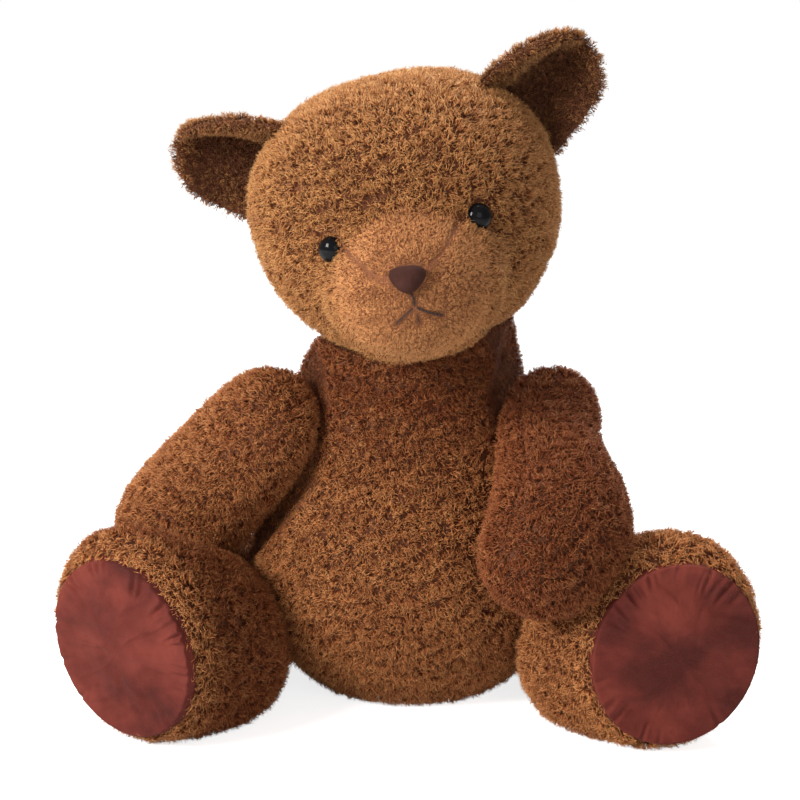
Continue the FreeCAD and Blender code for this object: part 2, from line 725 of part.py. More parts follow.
def mouth():
    """Embroidered mouth: a short upright stitch and two corner stitches on the snout."""
    lift = size["thread_rad"] + 0.35    # thread centre above the snout
    # x, z of the points each stitch runs through
    stitches = (
        ((0, -31), (0.3, -35), (0, -39.5)),
        ((-2.4, -41.2), (-8, -44.0), (-14, -48.5), (-18, -53.5)),
        ((2.4, -41.2), (8, -43.6), (14, -46.5), (21, -48.5)),
    )
    threads = []
    for stitch in stitches:
        points = []
        for x, z in stitch:
            point, normal = surface_point("snout", x, z)
            points.append(point + normal * lift)
        curve = Part.BSplineCurve()
        curve.interpolate(points)
        path = Part.Wire([curve.toShape()])
        start_way = curve.tangent(curve.FirstParameter)[0]
        circle = Part.Circle(points[0], start_way, size["thread_rad"])
        threads.append(path.makePipeShell([Part.Wire([circle.toShape()])], True, False))
    thread_piece = doc.addObject("Part::Feature", "mouth_stitch")
    thread_piece.Shape = Part.makeCompound(threads)
    thread_piece.Placement = head_frame
    publish("mouth_stitch", thread_piece)


eye("left")
eye("right")
nose()
mouth()
doc.recompute()

# ---------------------------------------------------------------- check and write
failed = [obj.Name for obj in doc.Objects if "Invalid" in obj.State or "Error" in obj.State]
if failed:
    raise RuntimeError("objects did not compute: " + ", ".join(failed))
os.makedirs("parts", exist_ok=True)
for name, obj in parts.items():
    shape = obj.Shape
    if shape.isNull() or not shape.isValid() or shape.Volume < 1.0:
        raise RuntimeError("bad shape " + name)
    shape.exportStep("parts/%s.step" % name)
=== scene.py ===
import math

import bpy
import numpy as np
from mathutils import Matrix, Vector
from mathutils.bvhtree import BVHTree


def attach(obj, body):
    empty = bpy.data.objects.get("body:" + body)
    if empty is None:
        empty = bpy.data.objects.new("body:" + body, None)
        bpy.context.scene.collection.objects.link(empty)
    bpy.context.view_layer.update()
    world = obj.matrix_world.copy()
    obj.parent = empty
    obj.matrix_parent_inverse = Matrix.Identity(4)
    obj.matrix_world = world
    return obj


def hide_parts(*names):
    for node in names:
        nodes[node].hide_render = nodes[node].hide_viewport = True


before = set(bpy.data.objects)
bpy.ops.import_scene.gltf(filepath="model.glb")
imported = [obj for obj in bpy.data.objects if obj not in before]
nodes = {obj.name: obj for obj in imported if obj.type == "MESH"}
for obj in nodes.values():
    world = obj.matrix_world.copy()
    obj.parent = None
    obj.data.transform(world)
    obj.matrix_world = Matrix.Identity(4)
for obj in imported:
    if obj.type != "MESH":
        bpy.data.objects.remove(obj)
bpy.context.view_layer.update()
MM = 0.001


# ---------------------------------------------------------------- small maths
def unit(v):
    v = np.asarray(v, float)
    return v / np.linalg.norm(v)


def units(a):
    return a / np.maximum(np.linalg.norm(a, axis=-1, keepdims=True), 1e-9)


def rot(axis, deg):
    a = math.radians(deg)
    x, y, z = unit(axis)
    c, s = math.cos(a), math.sin(a)
    k = np.array([[0, -z, y], [z, 0, -x], [-y, x, 0]])
    return np.eye(3) + s * k + (1 - c) * (k @ k)


def smooth(a, b, x):
    t = np.clip((x - a) / (b - a), 0, 1)
    return t * t * (3 - 2 * t)


class Frame:
    """Local frame: origin in mm and rows of axes."""

    def __init__(self, o, x, y, z):
        self.o = np.asarray(o, float)
        self.m = np.array([x, y, z], float)

    def out(self, p):
        return np.asarray(p, float) @ self.m + self.o

    def inn(self, p):
        return (np.asarray(p, float) - self.o) @ self.m.T

    def vec(self, v):
        return np.asarray(v, float) @ self.m


HEAD_R = rot((0, 0, 1), -2.0) @ rot((0, 1, 0), -13.0)
HEAD = Frame((-1.5, -12.0, 293.0), HEAD_R[:, 0], HEAD_R[:, 1], HEAD_R[:, 2])
NECK_P, NECK_N = np.array([12.0, -3.0, 225.0]), HEAD_R[:, 2]


def shoulder(side, swing):
    n = unit((side * 0.83, -0.48, 0.29))
    d0 = unit(np.array([0, 0, -1.0]) + n * n[2])
    f = np.cross(d0, n) * side
    a = math.radians(swing)
    return n, unit(d0 * math.cos(a) + f * math.sin(a))


def hip(side, splay):
    a, t = math.radians(splay), math.radians(20.0)
    n = np.array([side * math.cos(a) * math.cos(t), math.sin(a) * math.cos(t), -math.sin(t)])
    return n, np.array([side * math.sin(a), -math.cos(a), 0.0])


def limb_frame(p, n, d):
    x = unit(n - d * np.dot(n, d))
    return Frame(p, x, np.cross(d, x), d)


JOINT = {"shoulder_left": (np.array([69.0, -13.0, 159.0]),) + shoulder(1, 50.0),
         "shoulder_right": (np.array([-69.0, -13.0, 161.0]),) + shoulder(-1, -43.0),
         "hip_left": (np.array([68.0, 24.0, 50.0]),) + hip(1, 19.0),
         "hip_right": (np.array([-68.0, 24.0, 50.0]),) + hip(-1, 25.0)}
LIMB = {"arm_left": ("shoulder_left", -1, 0.0), "arm_right": ("shoulder_right", 1, 0.0),
        "leg_left": ("hip_left", 1, -10.0), "leg_right": ("hip_right", -1, 9.0)}
LF = {k: limb_frame(*JOINT[v[0]]) for k, v in LIMB.items()}
# where the stuffed limb lies within its own cloth, a few degrees about its own joint
SET = {"arm_left": 0.5, "arm_right": 1.0, "leg_left": 0.0, "leg_right": 0.0}
PLANES = [(NECK_P, NECK_N)] + [(v[0], v[1]) for v in JOINT.values()]

# station, half thickness, half width, outward, sideways, share of the sole's tilt
ROWS = {
    "arm_left": [(-40, 10, 12, 20, 0, 0), (-36, 18, 22, 20, 0, 0), (-24, 25, 30, 18, 0, 0), (0, 29, 37, 17, 0, 0),
                 (30, 35, 41, 29, -1, 0), (60, 39, 44, 40, -3, 0), (85, 40, 45, 43, -6, 0), (106, 36, 41, 40, -9, 0),
                 (122, 27, 33, 37, -11, 0), (130, 10, 14, 36, -12, 0)],
    "arm_right": [(-36, 10, 12, 21, 0, 0), (-32.5, 18, 22, 21, 0, 0), (-23, 25, 30, 21, 0, 0), (0, 31, 38, 22, 0, 0),
                  (30, 34, 40, 26, -3, 0), (60, 34, 42, 31, -7, 0), (85, 34, 42, 34, -8, 0), (107, 32, 38, 36, -9, 0),
                  (122, 24, 28, 38, -8, 0), (129, 9, 11, 38, -9, 0)],
    "leg": [(-44, 12, 14, 26, 2, 0), (-39, 24, 27, 26, 2, 0), (-26, 34, 35, 25, 2, 0), (0, 39, 40, 25, 2, 0),
            (30, 37, 42, 24, 1, 0), (60, 42, 50, 22, -2, 0), (88, 51, 57, 18, 2, 0.1), (114, 54, 64, 21, 11, 0.35),
            (138, 54, 66, 25, 21, 0.8), (153, 53, 61, 26, 21.5, 1.0), (160, 50, 55.5, 26, 20, 1.0)],
    "torso": [(0, 38, 40, 0, 2, 0), (3, 48, 53, 0, 1, 0), (14, 58, 69, 0, 0, 0), (40, 73, 89, 0, -4, 0),
              (75, 79, 96, 0, -6, 0), (110, 74, 93, 0, -5, 0), (145, 61, 83, 0, -2, 0), (175, 51, 75, 1, 0, 0),
              (198, 47, 69, 2, 1, 0), (214, 45, 62, 4, 1, 0), (226, 43, 55, 9, 0, 0), (240, 40, 50, 13, -3, 0)],
}


def spline(rows, n):
    """Natural cubic through the rows, spaced by chord length."""
    r = np.array(rows, float)
    t = np.concatenate([[0], np.cumsum(np.linalg.norm(np.diff(r[:, :3], axis=0), axis=1))])
    k = len(t)
    h = np.diff(t)
    a = np.eye(k)
    b = np.zeros_like(r)
    for i in range(1, k - 1):
        a[i, i - 1], a[i, i], a[i, i + 1] = h[i - 1], 2 * (h[i - 1] + h[i]), h[i]
        b[i] = 6 * ((r[i + 1] - r[i]) / h[i] - (r[i] - r[i - 1]) / h[i - 1])
    m = np.linalg.solve(a, b)
    q = np.linspace(0, t[-1], n)
    i = np.clip(np.searchsorted(t, q, side="right") - 1, 0, k - 2)
    d = (q - t[i])[:, None]
    hi = h[i][:, None]
    return (r[i] + d * ((r[i + 1] - r[i]) / hi - hi * (2 * m[i] + m[i + 1]) / 6) + d ** 2 * m[i] / 2
            + d ** 3 * (m[i + 1] - m[i]) / (6 * hi))


def shrunk(rows, s, low=True, high=True):
    r = np.array(rows, float)
    r[:, 1:3] -= s
    e = np.array([1.0, 0.75, 0.35]) * s
    if low:
        r[:3, 0] += e
    if high:
        r[-3:, 0] -= e[::-1]
    return r


def ring_grid(rows, m, n, side, tilt, torso=False):
    r = spline(rows, n)
    th = np.linspace(0, 2 * math.pi, m, endpoint=False)[None, :]
    c, s = np.cos(th), np.sin(th)
    if torso:
        x = r[:, 3:4] + r[:, 2:3] * c
        y = r[:, 4:5] + r[:, 1:2] * s
        z = r[:, 0:1] + 0 * c
        return np.stack([x, y, z], -1)
    t = np.radians(tilt * r[:, 5:6])
    ax = r[:, 1:2] * c
    x = r[:, 3:4] + ax * np.cos(t)
    y = side * r[:, 4:5] + r[:, 2:3] * s
    z = r[:, 0:1] - ax * np.sin(t)
    return np.stack([x, y, z], -1)


# ------------------------------------------------------------------ mesh help
def make(name, verts_mm, faces, smooth_shade=True):
    me = bpy.data.meshes.new(name)
    me.from_pydata([tuple(v) for v in (np.asarray(verts_mm) * MM)], [], [tuple(f) for f in faces])
    me.update()
    if smooth_shade:
        me.polygons.foreach_set("use_smooth", [True] * len(me.polygons))
    o = bpy.data.objects.new(name, me)
    bpy.context.scene.collection.objects.link(o)
    return o


def grid_faces(n, m, wrap=True):
    f = []
    for i in range(n - 1):
        for j in range(m if wrap else m - 1):
            k = (j + 1) % m
            f.append((i * m + j, i * m + k, (i + 1) * m + k, (i + 1) * m + j))
    return f


def capped(grid):
    """Closed mesh from a stack of rings."""
    n, m = grid.shape[:2]
    v = grid.reshape(-1, 3)
    lo, hi = grid[0].mean(0), grid[-1].mean(0)
    v = np.vstack([v, lo, hi])
    f = grid_faces(n, m)
    a, b = n * m, n * m + 1
    f += [(a, (j + 1) % m, j) for j in range(m)]
    f += [(b, (n - 1) * m + j, (n - 1) * m + (j + 1) % m) for j in range(m)]
    return v, f


def coords(o):
    co = np.zeros(len(o.data.vertices) * 3)
    o.data.vertices.foreach_get("co", co)
    return co.reshape(-1, 3) / MM


def set_coords(o, co):
    o.data.vertices.foreach_set("co", (np.asarray(co) * MM).astype(np.float32).ravel())
    o.data.update()


def evaluated(o):
    dg = bpy.context.evaluated_depsgraph_get()
    return bpy.data.meshes.new_from_object(o.evaluated_get(dg), depsgraph=dg)


def applied(o):
    """Replaces the mesh with the result of its modifiers."""
    me = evaluated(o)
    old = o.data
    o.modifiers.clear()
    o.data = me
    me.name = o.name
    bpy.data.meshes.remove(old)
    return o


def remesh(o, size, relax=4):
    m = o.modifiers.new("r", "REMESH")
    m.mode = "VOXEL"
    m.voxel_size = size * MM
    m.use_smooth_shade = True
    if relax:
        s = o.modifiers.new("s", "SMOOTH")
        s.iterations = relax
        s.factor = 0.5
    return applied(o)


def tri_data(o):
    me = o.data
    me.calc_loop_triangles()
    t = np.zeros(len(me.loop_triangles) * 3, np.int32)
    me.loop_triangles.foreach_get("vertices", t)
    t = t.reshape(-1, 3)
    v = coords(o)
    fn = np.cross(v[t[:, 1]] - v[t[:, 0]], v[t[:, 2]] - v[t[:, 0]])
    vn = np.zeros_like(v)
    for k in range(3):
        np.add.at(vn, t[:, k], fn)
    return v, t, units(vn), np.linalg.norm(fn, axis=1) / 2


# ---------------------------------------------------------------- the skins
INSET = 3.6          # cloth lies this far under the pile's outer face


def clear_of_limb(p, k):
    """How far a torso point lies outside the strip a limb covers, 0 inside it."""
    if k == 0:
        q, n = PLANES[0]
        h = (p - q) @ n
        return np.maximum(np.linalg.norm(p - q - h[:, None] * n, axis=1) - 52, 0)
    name = list(LIMB)[k - 1]
    q = LF[name].inn(p)
    half = 44 if name.startswith("leg") else 42
    return np.hypot(np.maximum(np.abs(q[:, 1]) - half, 0), np.maximum(-38 - q[:, 2], 0))


def clamp_planes(p, gap, free=7.0):
    for _ in range(2):
        for k, (q, n) in enumerate(PLANES):
            d = (p - q) @ n + gap - free * smooth(0, 14, clear_of_limb(p, k))
            p = p - np.maximum(d, 0)[:, None] * n
    return p


def clamp_limb(local, leg, gap):
    x = local[:, 0]
    if leg:
        need = gap * (1 - smooth(56, 70, local[:, 2])) - 400 * smooth(60, 70, local[:, 2])
    else:
        need = np.full(len(x), gap)
    local = local.copy()
    local[:, 0] = np.maximum(x, need)
    return local


def limb_skin(name, s):
    joint, side, tilt = LIMB[name]
    leg = name.startswith("leg")
    rows = shrunk(ROWS["leg" if leg else name], s, high=not leg)
    if leg:
        rows[-1, 1:3] += 0.5
        rows[-1, 0] -= 3.0
        rows[-2, 0] -= 1.5
    g = ring_grid(rows, 64, 60, side, tilt)
    v, f = capped(g)
    v = v @ rot((1, 0, 0), SET[name]).T
    v = clamp_limb(v, leg, 0.9)
    o = make(name + "_skin", LF[name].out(v), f)
    return remesh(o, 5.0, 2)


def torso_skin(s):
    rows = shrunk(ROWS["torso"], s, low=False, high=False)
    g = ring_grid(rows, 96, 70, 1, 0, torso=True)
    v, f = capped(g)
    v[:, 2] = np.maximum(v[:, 2], 1.2)
    v = clamp_planes(v, 0.9)
    return remesh(make("torso_skin", v, f), 5.0, 2)


# the head: skull and snout run into each other through a soft neckline
SKULL = np.array([92.0, 82.0, 83.0])
SNOUT_C, SNOUT = np.array([0.0, -72.0, -28.0]), np.array([50.0, 45.0, 43.0])
MUZ_C, MUZ_R = np.array([0.0, -101.0, -24.0]), 46.0


def egg_dist(p, c, r):
    q = (p - c) / r
    k = np.linalg.norm(q, axis=-1)
    g = np.linalg.norm((p - c) / r ** 2, axis=-1)
    return k * (k - 1) / np.maximum(g, 1e-9)


def skull_dist(p, r):
    """Slightly squared egg, so the crown is flatter between the ears."""
    e = 2.0 + 0.35 * smooth(-10, 40, p[..., 2:3])
    r = r * (1 - (0.030 * smooth(30, -10, p[..., 2:3]) + 0.035 * smooth(-5, -60, p[..., 2:3])) * np.array([1.0, 0.15, 0.0]))
    q = np.abs(p) / r
    e1 = e[..., 0]
    k = np.maximum((q ** e).sum(-1), 1e-9) ** (1 / e1)
    g = np.sqrt(((q ** (e - 1) / r) ** 2).sum(-1)) * k ** (1 - e1)
    return (k - 1) / np.maximum(g, 1e-9)


def head_field(p, s):
    a = skull_dist(p, SKULL - s)
    b = egg_dist(p, SNOUT_C, SNOUT - s)
    k = 14.0
    h = np.clip(0.5 + 0.5 * (b - a) / k, 0, 1)
    return b * (1 - h) + a * h - k * h * (1 - h)


def head_radius(d, s):
    lo, hi = np.full(d.shape[:-1], 60.0), np.full(d.shape[:-1], 150.0)
    steps = np.linspace(150, 60, 46)
    hit = np.zeros(d.shape[:-1], bool)
    for a, b in zip(steps[:-1], steps[1:]):
        inside = head_field(d * b, s) < 0
        new = inside & ~hit
        lo = np.where(new, b, lo)
        hi = np.where(new, a, hi)
        hit |= inside
    for _ in range(18):
        mid = (lo + hi) / 2
        inside = head_field(d * mid[..., None], s) < 0
        lo = np.where(inside, mid, lo)
        hi = np.where(inside, hi, mid)
    return (lo + hi) / 2


NECK_Z = float(HEAD.inn(NECK_P)[2])


def head_skin(s):
    n, m = 70, 110
    ph = np.linspace(0.01, math.pi - 0.01, n)[:, None]
    th = np.linspace(0, 2 * math.pi, m, endpoint=False)[None, :]
    d = np.stack([np.sin(ph) * np.cos(th), np.sin(ph) * np.sin(th), np.cos(ph) + 0 * th], -1)
    g = d * head_radius(d, s)[..., None]
    v, f = capped(g[::-1])
    v[:, 2] = np.maximum(v[:, 2], NECK_Z + 0.9)
    return remesh(make("head_skin", HEAD.out(v), f), 5.0, 2)


EAR_TURN = {1: 20.0, -1: 22.0}


def ear_frame(side):
    o = unit((side * 0.84, 0, 0.54))
    x = unit((side * 0.54, 0, -0.84))
    a = math.radians(EAR_TURN[side])
    f = np.array([0, -1.0, 0])
    f2 = f * math.cos(a) + x * math.sin(a)
    x2 = x * math.cos(a) - f * math.sin(a)
    c = np.array([side * 76.0, 5.0, 43.0])
    k = rot((0, 1, 0), -2.0 if side > 0 else -1.0)
    c = c + (np.array([2.0, 0.0, 1.0]) if side > 0 else np.array([3.0, 0.0, 4.0]))
    return Frame(k @ c, k @ x2, k @ f2, k @ o)


EAR = {1: ear_frame(1), -1: ear_frame(-1)}


def ear_skin(side):
    name = "ear_left" if side > 0 else "ear_right"
    ns, nt = 41, 46
    s = np.linspace(-1, 1, ns)[None, :]
    t = np.linspace(-0.46, 0.992, nt)[:, None]
    w = 33.6 * (1 - np.abs(np.clip(t, 0, 1)) ** 2.9) ** 0.5 * (1 - 0.12 * smooth(0, -0.3, t))
    cup = 21.0 * s ** 2 * (1 - 0.35 * t - 0.35 * smooth(0.65, 1.0, t)) + 12.0 * np.clip(t, 0, 1) ** 2 - 12.0
    cup = cup + 5.0 * smooth(0.2, 1.0, -s) * (1 - 0.3 * t)
    cup = cup + 6.0 * np.exp(-((s + 0.72) / 0.24) ** 2) * smooth(-0.2, 0.3, t) * (1 - 0.8 * smooth(0.70, 0.98, t))
    cup = cup + 4.0 * smooth(0.72, 0.95, t) * (1 - 0.6 * smooth(0.5, 1.0, np.abs(s)))
    cup = cup - 4.0 * np.exp(-((s + 0.05) / 0.36) ** 2) * smooth(0.0, 0.35, t)
    half = 3.0 * np.sqrt(np.clip(1 - np.abs(s) ** 8, 0.16, 1)) * np.sqrt(np.clip(1 - np.clip(t, 0, 1) ** 10, 0.16, 1))
    z = 55.5 * t + 0 * s
    w = w * (1 + smooth(0, 1, -s) * (0.10 - 0.24 * np.clip(t, 0, 1)) * (1.0 if side < 0 else 0.35))
    x = w * s
    front = np.stack([x, cup + half, z], -1).reshape(-1, 3)
    back = np.stack([x, cup - half, z], -1).reshape(-1, 3)
    k = len(front)
    f = [q[::-1] for q in grid_faces(nt, ns, wrap=False)]
    f2 = [tuple(a + k for a in q[::-1]) for q in f]
    v = np.vstack([front, back])
    rim = ([j for j in range(ns)] + [i * ns + ns - 1 for i in range(1, nt)]
           + [(nt - 1) * ns + j for j in range(ns - 2, -1, -1)] + [i * ns for i in range(nt - 2, 0, -1)])
    f3 = [(rim[i], rim[(i + 1) % len(rim)], rim[(i + 1) % len(rim)] + k, rim[i] + k) for i in range(len(rim))]
    o = make(name + "_skin", HEAD.out(EAR[side].out(v)), f + f2 + f3)
    return remesh(o, 1.9, 4)


skins = {n: limb_skin(n, INSET) for n in LIMB}
skins["torso"] = torso_skin(INSET)
skins["head"] = head_skin(INSET - 0.6)
ears = {1: ear_skin(1), -1: ear_skin(-1)}


# ------------------------------------------------- foot pads, in suede cloth
def pad_mesh(name, limb, tilt):
    joint, side, _ = LIMB[limb]
    last = ROWS["leg"][-1]
    nr, na = 34, 240
    th = np.linspace(0, 2 * math.pi, na, endpoint=False)
    rr = np.linspace(0.03, 1.0, nr)
    g = []
    for q in rr:
        rise = 6.2 * (1 - q ** 2.6) + 0.4 - 5.6 * smooth(0.93, 1.0, q)
        g.append(np.stack([(last[1] - 1.2) * q * np.cos(th), (last[2] - 1.2) * q * np.sin(th), 0 * th + rise], -1))
    g = np.array(g)
    v = g.reshape(-1, 3)
    v = np.vstack([v, [0, 0, 5.8]])
    f = [q[::-1] for q in grid_faces(nr, na)] + [(nr * na, j, (j + 1) % na) for j in range(na)]
    t = math.radians(tilt)
    R = np.array([[math.cos(t), 0, -math.sin(t)], [0, 1, 0], [math.sin(t), 0, math.cos(t)]])
    loc = v @ R + np.array([last[3], side * last[4], last[0] + 1.5])
    o = make(name, LF[limb].out(loc), f)
    o["rings"] = nr
    o["round"] = na
    o["out"] = [float(a) for a in LF[limb].vec(R[2])]
    return o


pads = {"leg_left": pad_mesh("foot_pad_left_suede", "leg_left", -10.0),
        "leg_right": pad_mesh("foot_pad_right_suede", "leg_right", 9.0)}


def gathers(o, side):
    """Short pleats where the suede is eased into the seam, and soft hollows where the filling is uneven."""
    rnd = np.random.default_rng(702 + side)
    nr, na = o["rings"], o["round"]
    up = np.array(o["out"])
    p = coords(o)
    th = np.linspace(0, 2 * math.pi, na, endpoint=False)[None, :]
    q = np.linspace(0.03, 1.0, nr)[:, None]
    h = np.zeros((nr, na))
    where = np.concatenate([rnd.uniform(0, 2 * math.pi, 14), rnd.normal(math.pi, 0.5, 13), rnd.normal(side * math.pi / 2, 0.45, 8)])
    for i, c in enumerate(where):
        reach = rnd.uniform(0.60, 0.80)
        d = np.angle(np.exp(1j * (th - c - rnd.normal(0, 0.10) * (1 - q))))
        w = rnd.uniform(0.020, 0.034)
        a = rnd.uniform(1.0, 2.1) * (0.55 if i < 14 else 1.0) * smooth(reach, reach + 0.18, q)
        h += a * (-np.exp(-(d / w) ** 2) + 0.40 * np.exp(-((np.abs(d) - 2.1 * w) / w) ** 2))
    x, y = q * np.cos(th), q * np.sin(th)
    for _ in range(7):
        cx, cy = rnd.uniform(-0.6, 0.6, 2)
        h += rnd.uniform(-1.1, 0.7) * np.exp(-((x - cx) ** 2 + (y - cy) ** 2) / rnd.uniform(0.03, 0.09)) * (1 - q ** 4)
    for _ in range(4):
        a, cx, cy = rnd.uniform(0, math.pi), rnd.uniform(-0.45, 0.45), rnd.uniform(-0.45, 0.45)
        along = (x - cx) * math.cos(a) + (y - cy) * math.sin(a)
        across = -(x - cx) * math.sin(a) + (y - cy) * math.cos(a) + 0.25 * along ** 2
        h -= rnd.uniform(0.5, 0.9) * np.exp(-(across / 0.06) ** 2 - (along / 0.34) ** 2)
    h = h * smooth(0.0, 0.10, q) + h[3].mean() * (1 - smooth(0.0, 0.10, q))
    p[:nr * na] += h.reshape(-1, 1) * up
    # the middle is drawn smooth over a small disc
    g = p[:nr * na].reshape(nr, na, 3)
    k = 7
    mid = g[k].mean(0)
    rise = ((g[k] - mid) @ up)[:, None]
    flat = g[k] - mid - rise * up
    for i in range(k):
        f = q[i, 0] / q[k, 0]
        g[i] = mid + flat * f + (rise * f ** 2 + 0.15 * (1 - f ** 2)) * up
    p[nr * na] = mid + 0.15 * up
    set_coords(o, p)


def cloth(o, pressure, weights, quality=5, shrink=0.0, bend=0.5, tension=15):
    g = o.vertex_groups.new(name="pin")
    for lv in np.unique(np.round(weights, 2)):
        if lv > 0:
            g.add([int(i) for i in np.nonzero(np.round(weights, 2) == lv)[0]], float(lv), "REPLACE")
    m = o.modifiers.new("c", "CLOTH")
    st = m.settings
    st.quality = quality
    st.mass = 0.3
    st.tension_stiffness = st.compression_stiffness = tension
    st.shear_stiffness = 5
    st.bending_stiffness = bend
    st.use_pressure = True
    st.uniform_pressure_force = pressure
    st.vertex_group_mass = "pin"
    st.pin_stiffness = 1.0
    st.shrink_min = shrink
    st.shrink_max = shrink
    st.effector_weights.gravity = 0.0
    m.collision_settings.use_collision = False
    m.collision_settings.use_self_collision = False
    m.point_cache.frame_start, m.point_cache.frame_end = 1, 20
    return m


def seam_weight(name, p):
    """1 along the seams and joint faces, 0 elsewhere."""
    if name in LIMB:
        q = LF[name].inn(p)
        r = np.array(ROWS["leg" if name.startswith("leg") else name])
        off = np.interp(q[:, 2], r[:, 0], r[:, 3])
        seam = 1 - smooth(1.5, 5.0, np.abs(q[:, 0] - off))
        flat = (q[:, 0] < 1.9) * 1.0
        if name.startswith("leg"):
            flat = np.maximum(flat * (q[:, 2] < 64), smooth(150, 158, q[:, 2]))
        return np.maximum(seam * 0.9, flat)
    if name == "torso":
        flat = np.zeros(len(p))
        for c, n in PLANES:
            flat = np.maximum(flat, ((p - c) @ n > -1.9) * 1.0)
        side = (1 - smooth(1.5, 5.0, np.abs(p[:, 1] + 2.0))) * 0.9
        return np.maximum(np.maximum(flat, side), (p[:, 2] < 2.5) * 1.0)
    q = HEAD.inn(p)
    flat = (q[:, 2] < NECK_Z + 1.9) * 1.0
    side = (1 - smooth(1.5, 5.0, np.abs(np.abs(q[:, 0]) - np.interp(-q[:, 1], [60, 80, 112], [44, 34, 8])))) * 0.8
    side = side * (q[:, 1] < -55) * (q[:, 2] > -18)
    return np.maximum(flat, side)


rest, mods = {}, []
for n, o in skins.items():
    p = coords(o)
    rest[o.name] = (p, 3.0)
    cloth(o, 3.0, seam_weight(n, p))
for n, o in pads.items():
    p = coords(o)
    rest[o.name] = (p, 4.0)
    w = np.zeros(len(p))
    w[(o["rings"] - 2) * o["round"]:o["rings"] * o["round"]] = 1
    cloth(o, 1.6, w, quality=8, shrink=-0.05, bend=0.05, tension=25)
sc = bpy.context.scene
for fr in range(1, 21):
    sc.frame_set(fr)
for o in list(skins.values()) + list(pads.values()):
    p, cap = rest[o.name]
    me = evaluated(o)
    o.modifiers.clear()
    c = np.zeros(len(me.vertices) * 3)
    me.vertices.foreach_get("co", c)
    bpy.data.meshes.remove(me)
    d = c.reshape(-1, 3) / MM - p
    k = np.linalg.norm(d, axis=1, keepdims=True)
    d = d * np.minimum(1, cap / np.maximum(k, 1e-6))
    print("sim", o.name, "mean %.2f max %.2f" % (k.mean(), k.max()))
    set_coords(o, p + d)
    o.vertex_groups.clear()
sc.frame_set(1)

for n, o in pads.items():
    gathers(o, LIMB[n][1])

for n, o in skins.items():
    p = coords(o)
    if n in LIMB:
        p = LF[n].out(clamp_limb(LF[n].inn(p), n.startswith("leg"), 0.75))
    elif n == "torso":
        p = clamp_planes(p, 0.75)
    else:
        q = HEAD.inn(p)
        q[:, 2] = np.maximum(q[:, 2], NECK_Z + 0.75)
        p = HEAD.out(q)
    p[:, 2] = np.maximum(p[:, 2], 1.0)
    set_coords(o, p)


# ------------------------------------------------------------------ the pile
def waves(p, size, seed, n=5):
    """Smooth vector noise made of sines."""
    r = np.random.default_rng(seed)
    out = np.zeros((len(p), 3))
    for _ in range(n):
        k = units(r.normal(size=(1, 3)))[0] * (2 * math.pi / size) * r.uniform(0.7, 1.4)
        a = r.uniform(0, 6.28, 3)
        b = units(r.normal(size=(1, 3)))[0]
        ph = p @ k
        out += np.sin(ph[:, None] + a) * b
    return out / math.sqrt(n)


def cell_hash(c, seed):
    h = (c[..., 0].astype(np.int64) * 73856093) ^ (c[..., 1].astype(np.int64) * 19349663) ^ (c[..., 2].astype(np.int64) * 83492791) ^ (seed * 2654435761)
    out = []
    for k in range(6):
        h = (h * 6364136223846793005 + 1442695040888963407) & 0x7FFFFFFFFFFFFFFF
        out.append(((h >> 20) & 0xFFFFF) / float(0x100000))
    return np.stack(out, -1)


def tufts(p, size, seed):
    """Nearest scattered tuft centre of each point, and that tuft's random numbers."""
    base = np.floor(p / size)
    best = np.full(len(p), 1e9)
    centre = np.zeros_like(p)
    rnd = np.zeros((len(p), 6))
    for i in (-1, 0, 1):
        for j in (-1, 0, 1):
            for k in (-1, 0, 1):
                c = base + np.array([i, j, k])
                h = cell_hash(c, seed)
                q = (c + h[:, :3]) * size
                d = ((p - q) ** 2).sum(1)
                m = d < best
                best[m] = d[m]
                centre[m] = q[m]
                rnd[m] = h[m]
    return centre, rnd


def scatter(o, dens, keep, seed):
    """Random roots on a mesh: dens per square mm, keep(p, n) gives the share kept."""
    v, t, vn, area = tri_data(o)
    r = np.random.default_rng(seed)
    want = area * dens
    cnt = np.floor(want + r.random(len(want))).astype(int)
    idx = np.repeat(np.arange(len(t)), cnt)
    a, b = r.random(len(idx)), r.random(len(idx))
    fl = a + b > 1
    a[fl], b[fl] = 1 - a[fl], 1 - b[fl]
    w = np.stack([1 - a - b, a, b], -1)[..., None]
    p = (v[t[idx]] * w).sum(1)
    n = units((vn[t[idx]] * w).sum(1))
    m = r.random(len(p)) < keep(p, n)
    return p[m], n[m]


